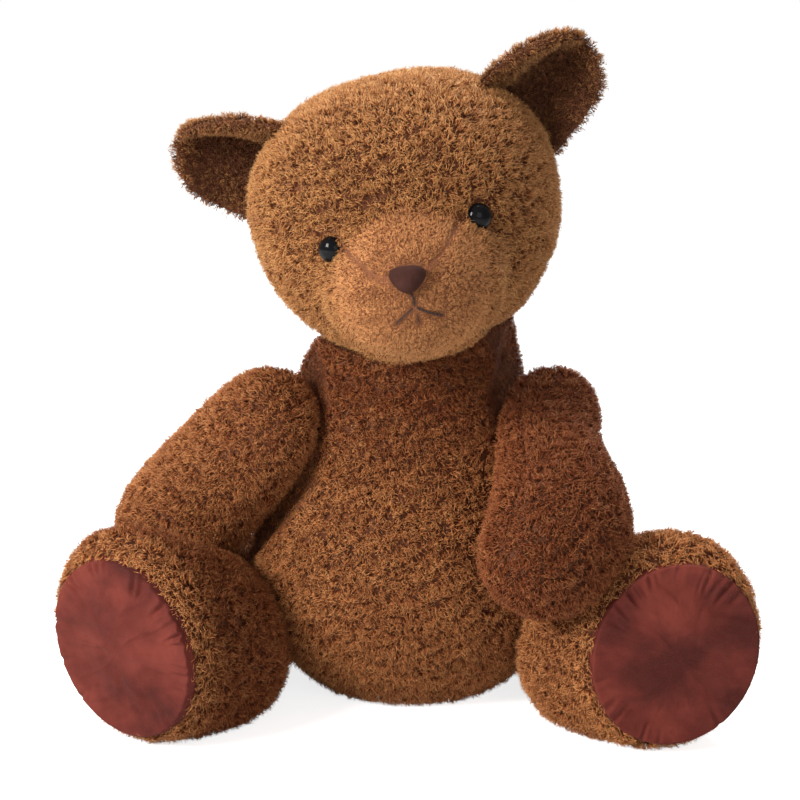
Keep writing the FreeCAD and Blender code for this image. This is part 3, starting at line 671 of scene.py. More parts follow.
def pile(name, p, n, length, width, tint, seed, lean=1.0, curl=0.5, comb=None, tuft=3.2, gather=0.45, fix=None):
    """Closed, bent fibres: root, a ring of three, tip."""
    r = np.random.default_rng(seed)
    k = len(p)
    cen, rnd = tufts(p, tuft, 5)
    L = length * r.uniform(0.72, 1.2, k) * (0.82 + 0.36 * rnd[:, 3])
    tint = tint + (rnd[:, 4] - 0.5) * 0.50
    down = comb if comb is not None else np.tile([0, 0, -0.3], (k, 1))
    t1 = waves(p, 9.0, 21) * 0.7 + units(rnd[:, 3:6] - 0.5) * 0.75 + down + r.normal(size=(k, 3)) * 0.35
    t1 -= n * (t1 * n).sum(1)[:, None]
    d = units(n + t1 * lean)
    pull = cen - p
    pull -= n * (pull * n).sum(1)[:, None]
    root = p - n * 0.7
    tip = p + d * L[:, None] + pull * gather
    side = np.cross(d, n + 0.01)
    b = units(side) * r.normal(size=(k, 1)) + n * 0.5 + r.normal(size=(k, 3)) * 0.4
    mid = root * 0.5 + tip * 0.5 + b * (L * curl * 0.55)[:, None]
    ax = units(tip - root)
    u = units(np.cross(ax, r.normal(size=(k, 3))))
    w = np.cross(ax, u)
    wd = (width * r.uniform(0.75, 1.25, k))[:, None]
    ring = [mid + (u * math.cos(a) + w * math.sin(a)) * wd * 0.5 for a in (0, 2.0944, 4.18879)]
    v = np.stack([root] + ring + [tip], 1)
    if fix is not None:
        v = fix(v.reshape(-1, 3)).reshape(-1, 5, 3)
    v[..., 2] = np.maximum(v[..., 2], 0.25)
    tri = np.array([[0, 2, 1], [0, 3, 2], [0, 1, 3], [4, 1, 2], [4, 2, 3], [4, 3, 1]])
    # the ring turns the same way about the fibre, so outward faces follow from it
    idx = (np.arange(k)[:, None, None] * 5 + tri[None]).reshape(-1)
    me = bpy.data.meshes.new(name)
    me.vertices.add(k * 5)
    me.vertices.foreach_set("co", (v.reshape(-1) * MM).astype(np.float32))
    me.loops.add(k * 18)
    me.loops.foreach_set("vertex_index", idx.astype(np.int32))
    me.polygons.add(k * 6)
    me.polygons.foreach_set("loop_start", (np.arange(k * 6) * 3).astype(np.int32))
    me.polygons.foreach_set("use_smooth", np.ones(k * 6, bool))
    col = np.zeros((k, 5, 4), np.float32)
    col[:, :, 3] = 1
    col[:, 0, 0], col[:, 1:4, 0], col[:, 4, 0] = 0, 0.55, 1
    col[:, :, 1] = r.random(k)[:, None]
    col[:, :, 2] = np.clip(tint, 0, 1)[:, None]
    at = me.attributes.new("fur", "FLOAT_COLOR", "POINT")
    at.data.foreach_set("color", col.ravel())
    # every fibre has its own small cell on the colour sheet
    cols = int(math.ceil(math.sqrt(k * 2.0)))
    rows = int(math.ceil(k / cols))
    cx = (np.arange(k) % cols)[:, None, None]
    cy = (np.arange(k) // cols)[:, None, None]
    pu, pv = np.array([.5, .1, .5, .9, .5]), np.array([.04, .5, .5, .5, .96])
    uu, vv = pu[tri], pv[tri]
    uv = np.stack([(cx + uu[None]) / cols, (cy + vv[None]) / rows], -1).astype(np.float32)
    lay = me.uv_layers.new(name="OFBake")
    lay.data.foreach_set("uv", uv.ravel())
    me.update()
    me.validate()
    o = bpy.data.objects.new(name, me)
    bpy.context.scene.collection.objects.link(o)
    return o


# face features in head space (mm)
EYES = [HEAD.out([43.5, -72.2, 2.0]), HEAD.out([-41.0, -73.4, 2.0])]
NOSE_P = np.array([0.0, -115.0, -15.5])
MOUTH = [[(0, -23.5), (0.6, -27.5), (0.3, -31.5)],
         [(-0.8, -32), (-4, -34), (-8, -36.6), (-12, -39)],
         [(1.2, -32.2), (5, -34.8), (9, -37.6), (14, -40)],
         [(0.8, -35.8), (0.6, -38.5), (0.9, -41.5)]]
FACE_SEAM = [[(-33, 2.5), (-26, -4), (-20, -10), (-15, -14), (-11, -15)], [(33, 4), (26, -3), (19, -9), (12, -13)]]


def seg_dist(q, path):
    """Distance in the x-z plane of the face from points to a polyline."""
    best = np.full(len(q), 1e9)
    a2 = q[:, [0, 2]]
    for a, b in zip(path[:-1], path[1:]):
        a, b = np.array(a, float), np.array(b, float)
        t = np.clip(((a2 - a) @ (b - a)) / ((b - a) @ (b - a)), 0, 1)
        best = np.minimum(best, np.linalg.norm(a2 - (a + t[:, None] * (b - a)), axis=1))
    return best


def gather_near_eyes(p):
    return np.minimum(np.linalg.norm(p - EYES[0], axis=1), np.linalg.norm(p - EYES[1], axis=1))


DENS = 1.35
FINE = 0.48
pieces = []        # (object, body, material key, slot, replaced nodes)


def tone(p, seed, base, amp=0.16):
    return base + amp * waves(p, 26.0, seed)[:, 0] + 0.6 * amp * waves(p, 8.0, seed + 1)[:, 1]


def limb_pile(name):
    o = skins[name]
    F = LF[name]
    leg = name.startswith("leg")
    r = np.array(ROWS["leg" if leg else name])

    def keep(p, n):
        q = F.inn(p)
        nl = n @ F.m.T
        near = np.hypot(q[:, 1], q[:, 2]) < (31 if leg else 25)
        flat = (q[:, 0] < 1.6) & (nl[:, 0] < -0.9) & near
        k = np.where(flat, 0.0, 1.0)
        if leg:
            a = (q[:, 0] - r[-1, 3]) / (r[-1, 1] - 1.5)
            b = (q[:, 1] - LIMB[name][1] * r[-1, 4]) / (r[-1, 2] - 1.5)
            k = np.where((q[:, 2] > 146) & (np.hypot(a, b) < 0.955), 0.0, k)
        return k

    p, n = scatter(o, DENS, keep, 31 + len(name))
    q = F.inn(p)
    off = np.interp(q[:, 2], r[:, 0], r[:, 3])
    seam = np.abs(q[:, 0] - off)
    L = 5.6 * (0.55 + 0.45 * smooth(0.5, 3.0, seam))
    # the limbs' tints are painted light and shade: arm_right and leg_left, which face the key light, are lighter, while
    # arm_left and leg_right are darkened as painted shade
    base = {"arm_left": 0.02, "arm_right": 0.48, "leg_left": 0.62, "leg_right": 0.16}[name]
    ti = tone(p, 3, base)
    comb = np.tile(F.m[2] * 0.35, (len(p), 1))
    if leg:
        # the pile is lightened towards the foot rim, a painted highlight where light catches the rim
        rim = smooth(135, 158, q[:, 2])
        ti += 0.85 * rim
        L = L * (1 + 0.15 * smooth(140, 152, q[:, 2]))
        c = np.array([r[-1, 3], LIMB[name][1] * r[-1, 4]])
        inward = np.zeros_like(q)
        inward[:, :2] = c - q[:, :2]
        k = smooth(144, 155, q[:, 2])[:, None]
        comb = comb * (1 + 2.4 * k) + (units(inward) @ F.m) * 0.35 * k

    def fix(v):
        return F.out(clamp_limb(F.inn(v), leg, 0.35))

    out = q[:, 0] > off
    for tag, m in (("outer", out), ("inner", ~out)):
        parts = [m]
        if m.sum() > 33000:
            cut = np.median(q[m, 2])
            parts = [m & (q[:, 2] <= cut), m & (q[:, 2] > cut)]
        for i, mm in enumerate(parts):
            nm = "%s_pile_%s%s" % (name, tag, "" if len(parts) == 1 else "_%d" % i)
            ob = pile(nm, p[mm], n[mm], L[mm], FINE, ti[mm], 101 + i, comb=comb[mm], fix=fix)
            pieces.append((ob, name, "plush", "curly_plush", ()))


def torso_pile():
    o = skins["torso"]

    def keep(p, n):
        k = np.ones(len(p))
        for (c, a), rad in zip(PLANES, (42, 25, 25, 31, 31)):
            h = (p - c) @ a
            out = np.linalg.norm(p - c - h[:, None] * a, axis=1)
            k[(h > -1.6) & (n @ a > 0.9) & (out < rad)] = 0
        k[(p[:, 2] < 2.2) & (n[:, 2] < -0.9)] *= 0.35
        return k

    p, n = scatter(o, DENS, keep, 41)
    L = np.full(len(p), 5.7)
    # the upper chest is darkened, painted shade under the head
    ti = tone(p, 4, 0.68) - 0.56 * smooth(125, 195, p[:, 2])
    cutx = 0.0
    quads = {"front_left": (p[:, 0] > cutx) & (p[:, 1] < -2), "front_right": (p[:, 0] <= cutx) & (p[:, 1] < -2),
             "back_left": (p[:, 0] > cutx) & (p[:, 1] >= -2), "back_right": (p[:, 0] <= cutx) & (p[:, 1] >= -2)}
    for i, (tag, m) in enumerate(quads.items()):
        ob = pile("torso_pile_" + tag, p[m], n[m], L[m], FINE, ti[m], 201 + i, fix=lambda v: clamp_planes(v, 0.35))
        pieces.append((ob, "torso", "plush", "curly_plush", ()))


def head_pile():
    o = skins["head"]

    def keep(p, n):
        q = HEAD.inn(p)
        nl = n @ HEAD.m.T
        k = np.where((q[:, 2] < NECK_Z + 1.6) & (nl[:, 2] < -0.9), 0.0, 1.0)
        e = gather_near_eyes(p)
        k[e < 6.2] = 0
        f = (q[:, 1] < -60)
        for path in MOUTH:
            k[f & (seg_dist(q, path) < 1.1)] *= 0.04
        for path in FACE_SEAM:
            k[f & (seg_dist(q, path) < 1.0)] *= 0.10
        k[np.linalg.norm((q - NOSE_P) * [1, 0.6, 1.25], axis=1) < 9.5] = 0
        for s in (1, -1):
            t = EAR[s].inn(q)
            k[(np.abs(t[:, 0]) < 27) & (np.abs(t[:, 1] + 4) < 7) & (t[:, 2] > -14)] = 0
        return k

    p, n = scatter(o, DENS * 3.4, keep, 51)
    q = HEAD.inn(p)
    r = np.random.default_rng(9)
    edge = np.linalg.norm(q - MUZ_C, axis=1) + waves(p, 16.0, 77)[:, 0] * 1.6
    short = 1 - smooth(MUZ_R - 5.0, MUZ_R + 3.0, edge)
    ok = r.random(len(p)) < (1 / 3.4 + (1 - 1 / 3.4) * short)
    p, n, q, short = p[ok], n[ok], q[ok], short[ok]
    e = gather_near_eyes(p)
    L = 5.4 * (1 - short) + 2.0 * short
    L *= 0.5 + 0.5 * smooth(7.0, 13.0, e)
    f = q[:, 1] < -60
    for path in MOUTH + FACE_SEAM:
        L = np.where(f, L * (0.55 + 0.45 * smooth(0.8, 4.0, seg_dist(q, path))), L)
    L *= 0.6 + 0.4 * smooth(10, 15, np.linalg.norm((q - NOSE_P) * [1, 0.6, 1.25], axis=1))
    W = FINE * (1 - short) + 0.32 * short
    ti = tone(p, 5, 0.84) * (1 - short) + (0.86 + 0.06 * waves(p, 9.0, 8)[:, 0]) * short

    # the pile is darkened along the mouth and face seam lines, painted shade in the creases
    crease = np.full(len(p), 1e9)
    for path in MOUTH + FACE_SEAM:
        crease = np.minimum(crease, seg_dist(q, path))
    ti = ti - np.where(f, 0.75 * np.exp(-(crease / 2.2) ** 2), 0)

    def fix(v):
        w = HEAD.inn(v)
        w[:, 2] = np.maximum(w[:, 2], NECK_Z + 0.35)
        return HEAD.out(w)

    mz = short > 0.5
    gus = np.abs(q[:, 0]) < 40
    sets = {"muzzle_pile_left": mz & (q[:, 0] > 0), "muzzle_pile_right": mz & (q[:, 0] <= 0),
            "head_pile_gusset": ~mz & gus & (q[:, 1] < 8), "head_pile_back_left": ~mz & (q[:, 1] >= 8) & (q[:, 0] > 0),
            "head_pile_back_right": ~mz & (q[:, 1] >= 8) & (q[:, 0] <= 0),
            "head_pile_side_left": ~mz & ~gus & (q[:, 1] < 8) & (q[:, 0] > 0),
            "head_pile_side_right": ~mz & ~gus & (q[:, 1] < 8) & (q[:, 0] <= 0)}
    away = units(p - HEAD.out(NOSE_P))
    for i, (nm, m) in enumerate(sets.items()):
        fine = nm.startswith("muzzle")
        ob = pile(nm, p[m], n[m], L[m], W[m], ti[m], 301 + i, lean=0.95 if not fine else 0.7,
                  comb=away[m] * 0.35 + np.array([0, 0, -0.15]), tuft=3.2 if not fine else 2.2,
                  gather=0.5 if not fine else 0.3, curl=0.5 if not fine else 0.3, fix=fix)
        pieces.append((ob, "head", "short_plush" if fine else "plush_head", "short_plush" if fine else "curly_plush", ()))


def ear_pile(side):
    name = "ear_left" if side > 0 else "ear_right"
    o = ears[side]
    E = EAR[side]

    def local(p):
        return E.inn(HEAD.inn(p))

    def keep(p, n):
        h = HEAD.inn(p)
        inside = head_field(h, INSET) < -1.5
        return np.where(inside, 0.0, 1.0)

    p, n = scatter(o, DENS * 1.25, keep, 61 + side)
    nl = (n @ HEAD.m.T) @ E.m.T
    q = local(p)
    front = smooth(0.1, 0.6, nl[:, 1])
    L = 4.8 * (1 - front) + 3.2 * front
    s, t = q[:, 0] / 33.0, q[:, 2] / 55.5
    # on the ear's front the hollow stays dark, painted shade under the lip; the lip band is lighter, painted light; the
    # lower part is lighter on ear_right than on ear_left, lit and shaded sides
    lip = np.maximum(smooth(0.22, 0.52, -s), smooth(0.72, 0.90, t + 0.1 * s))
    low = smooth(0.15, 0.7, s) * (1 - smooth(0.35, 0.7, t))
    ti = (0.62 + 0.1 * waves(p, 12, 6)[:, 0]) * (1 - front) + front * (0.5 * lip + (0.28 if side < 0 else 0.14) * low * (1 - lip))
    ob = pile(name + "_pile", p, n, L, np.where(front > 0.5, 0.44, 0.5), ti, 401 + side, lean=0.7,
              comb=np.tile(HEAD.vec(E.m[2]) * 0.3, (len(p), 1)))
    pieces.append((ob, "head", "plush_ear", "curly_plush", ()))


for n in LIMB:
    limb_pile(n)
torso_pile()
head_pile()
ear_pile(1)
ear_pile(-1)


# ---------------------------------------------------------------- the nose
def nose_piece():
    ny = SNOUT_C[1] - SNOUT[1] * math.sqrt(1 - ((-15.5 - SNOUT_C[2]) / SNOUT[2]) ** 2)
    z = unit((0, (ny - SNOUT_C[1]) / SNOUT[1] ** 2, (-15.5 - SNOUT_C[2]) / SNOUT[2] ** 2))
    x = np.array([1.0, 0, 0])
    y = np.cross(z, x)
    if y[2] < 0:
        y, x = -y, -x
    F = Frame((0, ny, -15.5), x, y, z)
    nr, na = 22, 72
    th = np.linspace(0, 2 * math.pi, na, endpoint=False)
    # rounded triangle, wide at the top
    rad = 1.0 + 0.095 * np.sin(3 * th)
    ox, oy = np.cos(th) * 9.7 * rad, np.sin(th) * 7.5 * rad
    ox = ox * (1 + 0.06 * np.sin(th))
    roll = math.radians(-8.0)
    ox, oy = ox * math.cos(roll) - oy * math.sin(roll), ox * math.sin(roll) + oy * math.cos(roll)
    g = []
    for q in np.linspace(0.04, 1.0, nr):
        h = 5.6 * (1 - q ** 2.8) ** 0.6 - 0.2
        g.append(np.stack([ox * q, oy * q + 0.3, 0 * th + h], -1))
    for k, (q, h) in enumerate([(1.0, -1.4), (0.96, -2.0), (0.6, -2.0)]):
        g.append(np.stack([ox * q, oy * q + 0.3, 0 * th + h], -1))
    g = np.array(g)[::-1]
    v, f = capped(g)
    # nostril hollows
    for s in (-1, 1):
        c = np.array([s * 5.2, -1.8, 0])
        d = np.linalg.norm((v - c)[:, :2] / [2.6, 1.8], axis=1)
        v[:, 2] -= np.where(v[:, 2] > 0, 0.55 * np.exp(-d ** 2), 0)
    o = make("nose_moulded", HEAD.out(F.out(v)), f)
    m = o.modifiers.new("s", "SUBSURF")
    m.levels = m.render_levels = 1
    return applied(o)


nose = nose_piece()


# -------------------------------------------------------------- threads
def surface(o):
    v, t, vn, _ = tri_data(o)
    return BVHTree.FromPolygons([Vector(a) for a in v], [tuple(int(i) for i in a) for a in t])


head_bvh = surface(skins["head"])


def on_face(x, z, lift):
    a = HEAD.out([x, -200.0, z])
    d = HEAD.vec([0, 1.0, 0])
    hit, nn, _, _ = head_bvh.ray_cast(Vector(a), Vector(d))
    h = np.array(hit)
    return h + np.array(nn) * lift


def thread(name, pts, radius, sag=0.0, twist=9.0):
    """Two-ply thread swept along a path of points."""
    pts = np.array(pts, float)
    t = np.concatenate([[0], np.cumsum(np.linalg.norm(np.diff(pts, axis=0), axis=1))])
    n = max(int(t[-1] / 0.35), 8)
    q = np.linspace(0, t[-1], n)
    c = np.stack([np.interp(q, t, pts[:, i]) for i in range(3)], -1)
    for _ in range(6):
        c[1:-1] = (c[:-2] + 2 * c[1:-1] + c[2:]) / 4
    tan = units(np.gradient(c, axis=0))
    u = units(np.cross(tan, [0.1, 1.0, 0.2]))
    w = np.cross(tan, u)
    verts, faces = [], []
    m = 8
    for ply in (0, math.pi):
        a = q * twist / 6.0 + ply
        cc = c + (u * np.cos(a)[:, None] + w * np.sin(a)[:, None]) * radius * 0.5
        base = len(verts)
        for i in range(n):
            rr = radius * 0.62 * min(1.0, 0.3 + min(i, n - 1 - i) * 0.4)
            for k in range(m):
                b = 2 * math.pi * k / m
                verts.append(cc[i] + (u[i] * math.cos(b) + w[i] * math.sin(b)) * rr)
        faces += [tuple(base + j for j in f) for f in grid_faces(n, m)]
        faces.append(tuple(base + j for j in range(m))[::-1])
        faces.append(tuple(base + (n - 1) * m + j for j in range(m)))
    return make(name, verts, faces)


mouth = []
for i, path in enumerate(MOUTH):
    pts = np.array(path, float)
    s = np.linspace(0, len(pts) - 1, 16)
    xy = np.stack([np.interp(s, np.arange(len(pts)), pts[:, k]) for k in (0, 1)], -1)
    mouth.append(thread("mouth_thread_%d" % i, [on_face(a, b, 1.0) for a, b in xy], (0.62, 0.48, 0.72, 0.36)[i]))


# ------------------------------------------------------------ the stuffing
def stuffing(node):
    src = nodes[node]
    me = src.data.copy()
    me.materials.clear()
    o = bpy.data.objects.new(node + "_fibre", me)
    bpy.context.scene.collection.objects.link(o)
    m = o.modifiers.new("r", "REMESH")
    m.mode = "VOXEL"
    m.voxel_size = 4.5 * MM
    m.use_smooth_shade = True
    applied(o)
    p = coords(o)
    v, t, vn, _ = tri_data(o)
    lump = 0.5 + 0.5 * np.sin(waves(p, 18.0, 90)[:, 0] * 3 + waves(p, 7.0, 91)[:, 1] * 2)
    p = p - vn * (3.4 + 1.6 * lump)[:, None]
    tree = surface(skins[node[:-len("_stuffing")]])
    for i in range(len(p)):
        h, nn, _, _ = tree.find_nearest(Vector(p[i]))
        d = (p[i] - np.array(h)) @ np.array(nn)
        if d > -2.0:
            p[i] = np.array(h) - np.array(nn) * (2.0 + lump[i])
    set_coords(o, p)
    return o


stuffed = {}
for n in ("torso", "head", "arm_left", "arm_right", "leg_left", "leg_right"):
    stuffed[n] = stuffing(n + "_stuffing")


# ------------------------------------------------------------- the materials
class Mat:
    def __init__(self, name):
        self.m = bpy.data.materials.new(name)
        self.m.use_nodes = True
        self.t = self.m.node_tree
        self.t.nodes.clear()
        self.out = self.t.nodes.new("ShaderNodeOutputMaterial")
        self.b = self.t.nodes.new("ShaderNodeBsdfPrincipled")
        self.t.links.new(self.b.outputs[0], self.out.inputs[0])

    def node(self, kind, **kw):
        n = self.t.nodes.new(kind)
        for k, v in kw.items():
            if hasattr(n, k) and not k.startswith("in_"):
                setattr(n, k, v)
            else:
                n.inputs[k.replace("in_", "").replace("_", " ")].default_value = v
        return n

    def link(self, a, b):
        self.t.links.new(a, b)

    def set(self, **kw):
        for k, v in kw.items():
            self.b.inputs[k.replace("_", " ")].default_value = v

    def coords(self, scale=1.0):
        tc = self.node("ShaderNodeTexCoord")
        mp = self.node("ShaderNodeMapping")
        mp.inputs["Scale"].default_value = (scale, scale, scale)
        self.link(tc.outputs["Object"], mp.inputs[0])
        return mp.outputs[0]

    def noise(self, vec, scale, detail=4.0, rough=0.6):
        n = self.node("ShaderNodeTexNoise")
        n.inputs["Scale"].default_value = scale
        n.inputs["Detail"].default_value = detail
        n.inputs["Roughness"].default_value = rough
        self.link(vec, n.inputs["Vector"])
        return n.outputs["Fac"]

    def ramp(self, fac, stops):
        r = self.node("ShaderNodeValToRGB")
        e = r.color_ramp.elements
        while len(e) < len(stops):
            e.new(0.5)
        for i, (p, c) in enumerate(stops):
            e[i].position = p
            e[i].color = (*c, 1) if len(c) == 3 else c
        self.link(fac, r.inputs[0])
        return r.outputs[0]

    def mix(self, fac, a, b, kind="MIX"):
        n = self.node("ShaderNodeMix")
        n.data_type = "RGBA"
        n.blend_type = kind
        for s, i in ((fac, 0), (a, 6), (b, 7)):
            if hasattr(s, "is_output"):
                self.link(s, n.inputs[i])
            else:
                n.inputs[i].default_value = s if i == 0 else (*s, 1)
        return n.outputs[2]

    def math(self, op, a, b=0.0):
        n = self.node("ShaderNodeMath")
        n.operation = op
        for i, s in enumerate((a, b)):
            if hasattr(s, "is_output"):
                self.link(s, n.inputs[i])
            else:
                n.inputs[i].default_value = s
        return n.outputs[0]

    def bump(self, height, strength, dist):
        n = self.node("ShaderNodeBump")
        n.inputs["Strength"].default_value = strength
        n.inputs["Distance"].default_value = dist
        self.link(height, n.inputs["Height"])
        self.link(n.outputs[0], self.b.inputs["Normal"])


def plush(name, dark, light, rough=0.50):
    """Pile darker and redder at the root, painted shade deep in the pile, lighter and golden at the tip, a painted
    highlight.
    """
    m = Mat(name)
    at = m.node("ShaderNodeAttribute")
    at.attribute_name = "fur"
    sep = m.node("ShaderNodeSeparateColor")
    m.link(at.outputs["Color"], sep.inputs[0])
    t, v, ti = sep.outputs[0], sep.outputs[1], sep.outputs[2]
    a = m.ramp(t, dark)
    b = m.ramp(t, light)
    k = m.math("ADD", ti, m.math("MULTIPLY", m.math("SUBTRACT", v, 0.5), 0.55))
    k = m.math("MINIMUM", m.math("MAXIMUM", k, 0.0), 1.0)
    c = m.mix(k, a, b)
    n = m.noise(m.coords(), 320.0, 2.0)
    c = m.mix(0.25, c, m.ramp(n, [(0.35, (0.45, 0.40, 0.38)), (0.65, (1.0, 1.0, 1.0))]), "MULTIPLY")
    m.link(c, m.b.inputs["Base Color"])
    m.set(Roughness=rough)
    m.b.inputs["Specular IOR Level"].default_value = 0.32
    return m.m


# root to tip ramps: the dark roots are painted shade deep in the pile and the golden tips a painted highlight; the fur
# tint blends each dark ramp with its light one
DARK = [(0.0, (0.048, 0.013, 0.005)), (0.5, (0.20, 0.052, 0.014)), (1.0, (0.42, 0.145, 0.045))]
LIGHT = [(0.0, (0.17, 0.048, 0.016)), (0.5, (0.56, 0.205, 0.064)), (1.0, (0.97, 0.55, 0.200))]
BODY_D = [(0.0, (0.046, 0.010, 0.0035)), (0.5, (0.195, 0.040, 0.0095)), (1.0, (0.41, 0.108, 0.029))]
BODY_L = [(0.0, (0.17, 0.040, 0.011)), (0.5, (0.57, 0.172, 0.046)), (1.0, (1.0, 0.54, 0.205))]
M = {"plush": plush("plush_pile_body", BODY_D, BODY_L), "plush_head": plush("plush_pile_head", DARK, LIGHT),
     # the ear's dark ramp is darkened further, painted shade in the ear's hollow
     "plush_ear": plush("plush_pile_ear", [(p, (a * 0.40, b * 0.36, c * 0.36)) for p, (a, b, c) in DARK],
                        [(p, (a * 0.95, b * 0.95, c * 0.95)) for p, (a, b, c) in LIGHT]),
     "short_plush": plush("short_pile", [(0.0, (0.13, 0.040, 0.014)), (0.5, (0.38, 0.135, 0.045)), (1.0, (0.60, 0.25, 0.090))],
                          [(0.0, (0.22, 0.075, 0.028)), (0.5, (0.74, 0.320, 0.115)), (1.0, (0.92, 0.50, 0.210))], 0.7)}


def backing(name, a, b):
    """Knitted ground cloth: interlocking loops, lighter along the ridges."""
    m = Mat(name)
    vec = m.coords()
    w1 = m.node("ShaderNodeTexWave")
    w1.wave_type, w1.bands_direction = "BANDS", "X"
    w1.inputs["Scale"].default_value = 260
    w1.inputs["Distortion"].default_value = 1.5
    m.link(vec, w1.inputs["Vector"])
    w2 = m.node("ShaderNodeTexWave")
    w2.wave_type, w2.bands_direction = "BANDS", "Z"
    w2.inputs["Scale"].default_value = 260
    w2.inputs["Distortion"].default_value = 1.5
    m.link(vec, w2.inputs["Vector"])
    h = m.math("ADD", w1.outputs["Fac"], w2.outputs["Fac"])
    n = m.noise(vec, 60.0)
    c = m.ramp(n, [(0.3, a), (0.7, b)])
    c = m.mix(m.math("MULTIPLY", h, 0.25), c, b)
    m.link(c, m.b.inputs["Base Color"])
    r = m.ramp(m.noise(vec, 140.0), [(0.3, (0.82,) * 3), (0.7, (0.96,) * 3)])
    m.link(r, m.b.inputs["Roughness"])
    m.bump(h, 0.35, 0.0006)
    return m.m


M["backing"] = backing("plush_backing", (0.105, 0.030, 0.011), (0.175, 0.055, 0.019))
M["short_backing"] = backing("short_pile_backing", (0.16, 0.055, 0.022), (0.26, 0.095, 0.038))


def suede():
    m = Mat("suede")
    vec = m.coords()
    big = m.noise(vec, 22.0, 3.0, 0.55)
    fine = m.noise(vec, 1500.0, 2.0, 0.7)
    mid = m.noise(vec, 190.0, 4.0, 0.65)
    c = m.ramp(big, [(0.38, (0.058, 0.0085, 0.0060)), (0.50, (0.112, 0.0175, 0.0120)), (0.62, (0.175, 0.0310, 0.0205))])
    c = m.mix(m.math("MULTIPLY", m.ramp(fine, [(0.35, (0,) * 3), (0.75, (1,) * 3)]), 0.30), c, (0.20, 0.040, 0.028))
    c = m.mix(m.math("MULTIPLY", m.ramp(mid, [(0.55, (0,) * 3), (0.8, (1,) * 3)]), 0.35), c, (0.075, 0.013, 0.010))
    m.link(c, m.b.inputs["Base Color"])
    r = m.ramp(mid, [(0.3, (0.70,) * 3), (0.7, (0.88,) * 3)])
    m.link(r, m.b.inputs["Roughness"])
    m.set(Sheen_Weight=0.02, Sheen_Roughness=0.5)
    m.b.inputs["Specular IOR Level"].default_value = 0.2
    m.b.inputs["Sheen Tint"].default_value = (0.9, 0.55, 0.5, 1)
    m.bump(m.math("ADD", fine, m.math("MULTIPLY", mid, 1.5)), 0.35, 0.0005)
    return m.m


M["suede"] = suede()


def moulded(name, a, b, rough, scale=240.0, bump=0.12, dist=0.0003, coat=0.0, grain=900.0):
    m = Mat(name)
    vec = m.coords()
    c = m.ramp(m.noise(vec, scale * 0.2, 3.0), [(0.3, a), (0.7, b)])
    m.link(c, m.b.inputs["Base Color"])
    r = m.ramp(m.noise(vec, scale, 4.0), [(0.3, (max(rough - 0.05, 0.02),) * 3), (0.7, (rough + 0.07,) * 3)])
    m.link(r, m.b.inputs["Roughness"])
    m.set(Coat_Weight=coat, Coat_Roughness=0.06)
    m.bump(m.noise(vec, grain, 3.0), bump, dist)
    return m.m


M["disc"] = moulded("joint_plastic", (0.62, 0.60, 0.55), (0.72, 0.70, 0.65), 0.42)
M["washer"] = moulded("washer_plastic", (0.05, 0.05, 0.055), (0.09, 0.09, 0.095), 0.5)
M["eye"] = moulded("eye_gloss", (0.003, 0.003, 0.004), (0.008, 0.008, 0.009), 0.10, bump=0.02, dist=0.0001, coat=0.0)
M["eye"].node_tree.nodes["Principled BSDF"].inputs["Specular IOR Level"].default_value = 0.15
M["nose"] = moulded("nose_soft", (0.043, 0.016, 0.012), (0.066, 0.025, 0.019), 0.78, bump=0.9, dist=0.0006, grain=900.0)
M["nose"].node_tree.nodes["Principled BSDF"].inputs["Specular IOR Level"].default_value = 0.10
M["fibre"] = moulded("fibre_filling", (0.78, 0.77, 0.74), (0.90, 0.89, 0.87), 0.93, scale=90.0, bump=0.8, dist=0.002, grain=260.0)


def thread_mat():
    m = Mat("thread")
    vec = m.coords()
    w = m.node("ShaderNodeTexWave")
    w.inputs["Scale"].default_value = 900
    m.link(vec, w.inputs["Vector"])
    c = m.ramp(m.noise(vec, 500.0), [(0.3, (0.022, 0.009, 0.006)), (0.7, (0.06, 0.024, 0.015))])
    m.link(c, m.b.inputs["Base Color"])
    m.link(m.ramp(w.outputs["Fac"], [(0.2, (0.55,) * 3), (0.8, (0.75,) * 3)]), m.b.inputs["Roughness"])
    m.bump(w.outputs["Fac"], 0.3, 0.0002)
    return m.m


M["thread"] = thread_mat()


def dress(o, key):
    o.data.materials.clear()
    o.data.materials.append(M[key])


# -------------------------------------------------------- put it all together
for o, body, key, slot, gone in pieces:
    dress(o, key)
    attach(o, body)
for n, o in skins.items():
    dress(o, "backing")
    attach(o, n)
    gone = [n + "_cover"] + (["muzzle_cover"] if n == "head" else [])
    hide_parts(*gone)
head = skins["head"]
head.data.materials.append(M["short_backing"])
mid = np.zeros(len(head.data.polygons) * 3)
head.data.polygons.foreach_get("center", mid)
close = np.linalg.norm(HEAD.inn(mid.reshape(-1, 3) / MM) - MUZ_C, axis=1) < MUZ_R
head.data.polygons.foreach_set("material_index", close.astype(np.int32))
for s, o in ears.items():
    dress(o, "backing")
    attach(o, "head")
    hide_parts("ear_left" if s > 0 else "ear_right")
for n, o in pads.items():
    m = o.modifiers.new("s", "SUBSURF")
    m.levels = m.render_levels = 1
    applied(o)
    m = o.modifiers.new("t", "SOLIDIFY")
    m.thickness = 1.2 * MM
    m.offset = -1.0
    applied(o)
    dress(o, "suede")
    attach(o, n)
    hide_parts("foot_pad_left" if n == "leg_left" else "foot_pad_right")
for n, o in stuffed.items():
    dress(o, "fibre")
    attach(o, n)
    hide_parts(n + "_stuffing")
dress(nose, "nose")
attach(nose, "head")
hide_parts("nose")
for o in mouth:
    dress(o, "thread")
    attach(o, "head")
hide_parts("mouth_stitch")
for n, o in nodes.items():
    if n.startswith("eye_washer") or n.endswith("lock_washer") or n == "nose_washer":
        dress(o, "washer")
    elif n in ("eye_left", "eye_right"):
        dress(o, "eye")
    elif n.endswith("_disc"):
        dress(o, "disc")

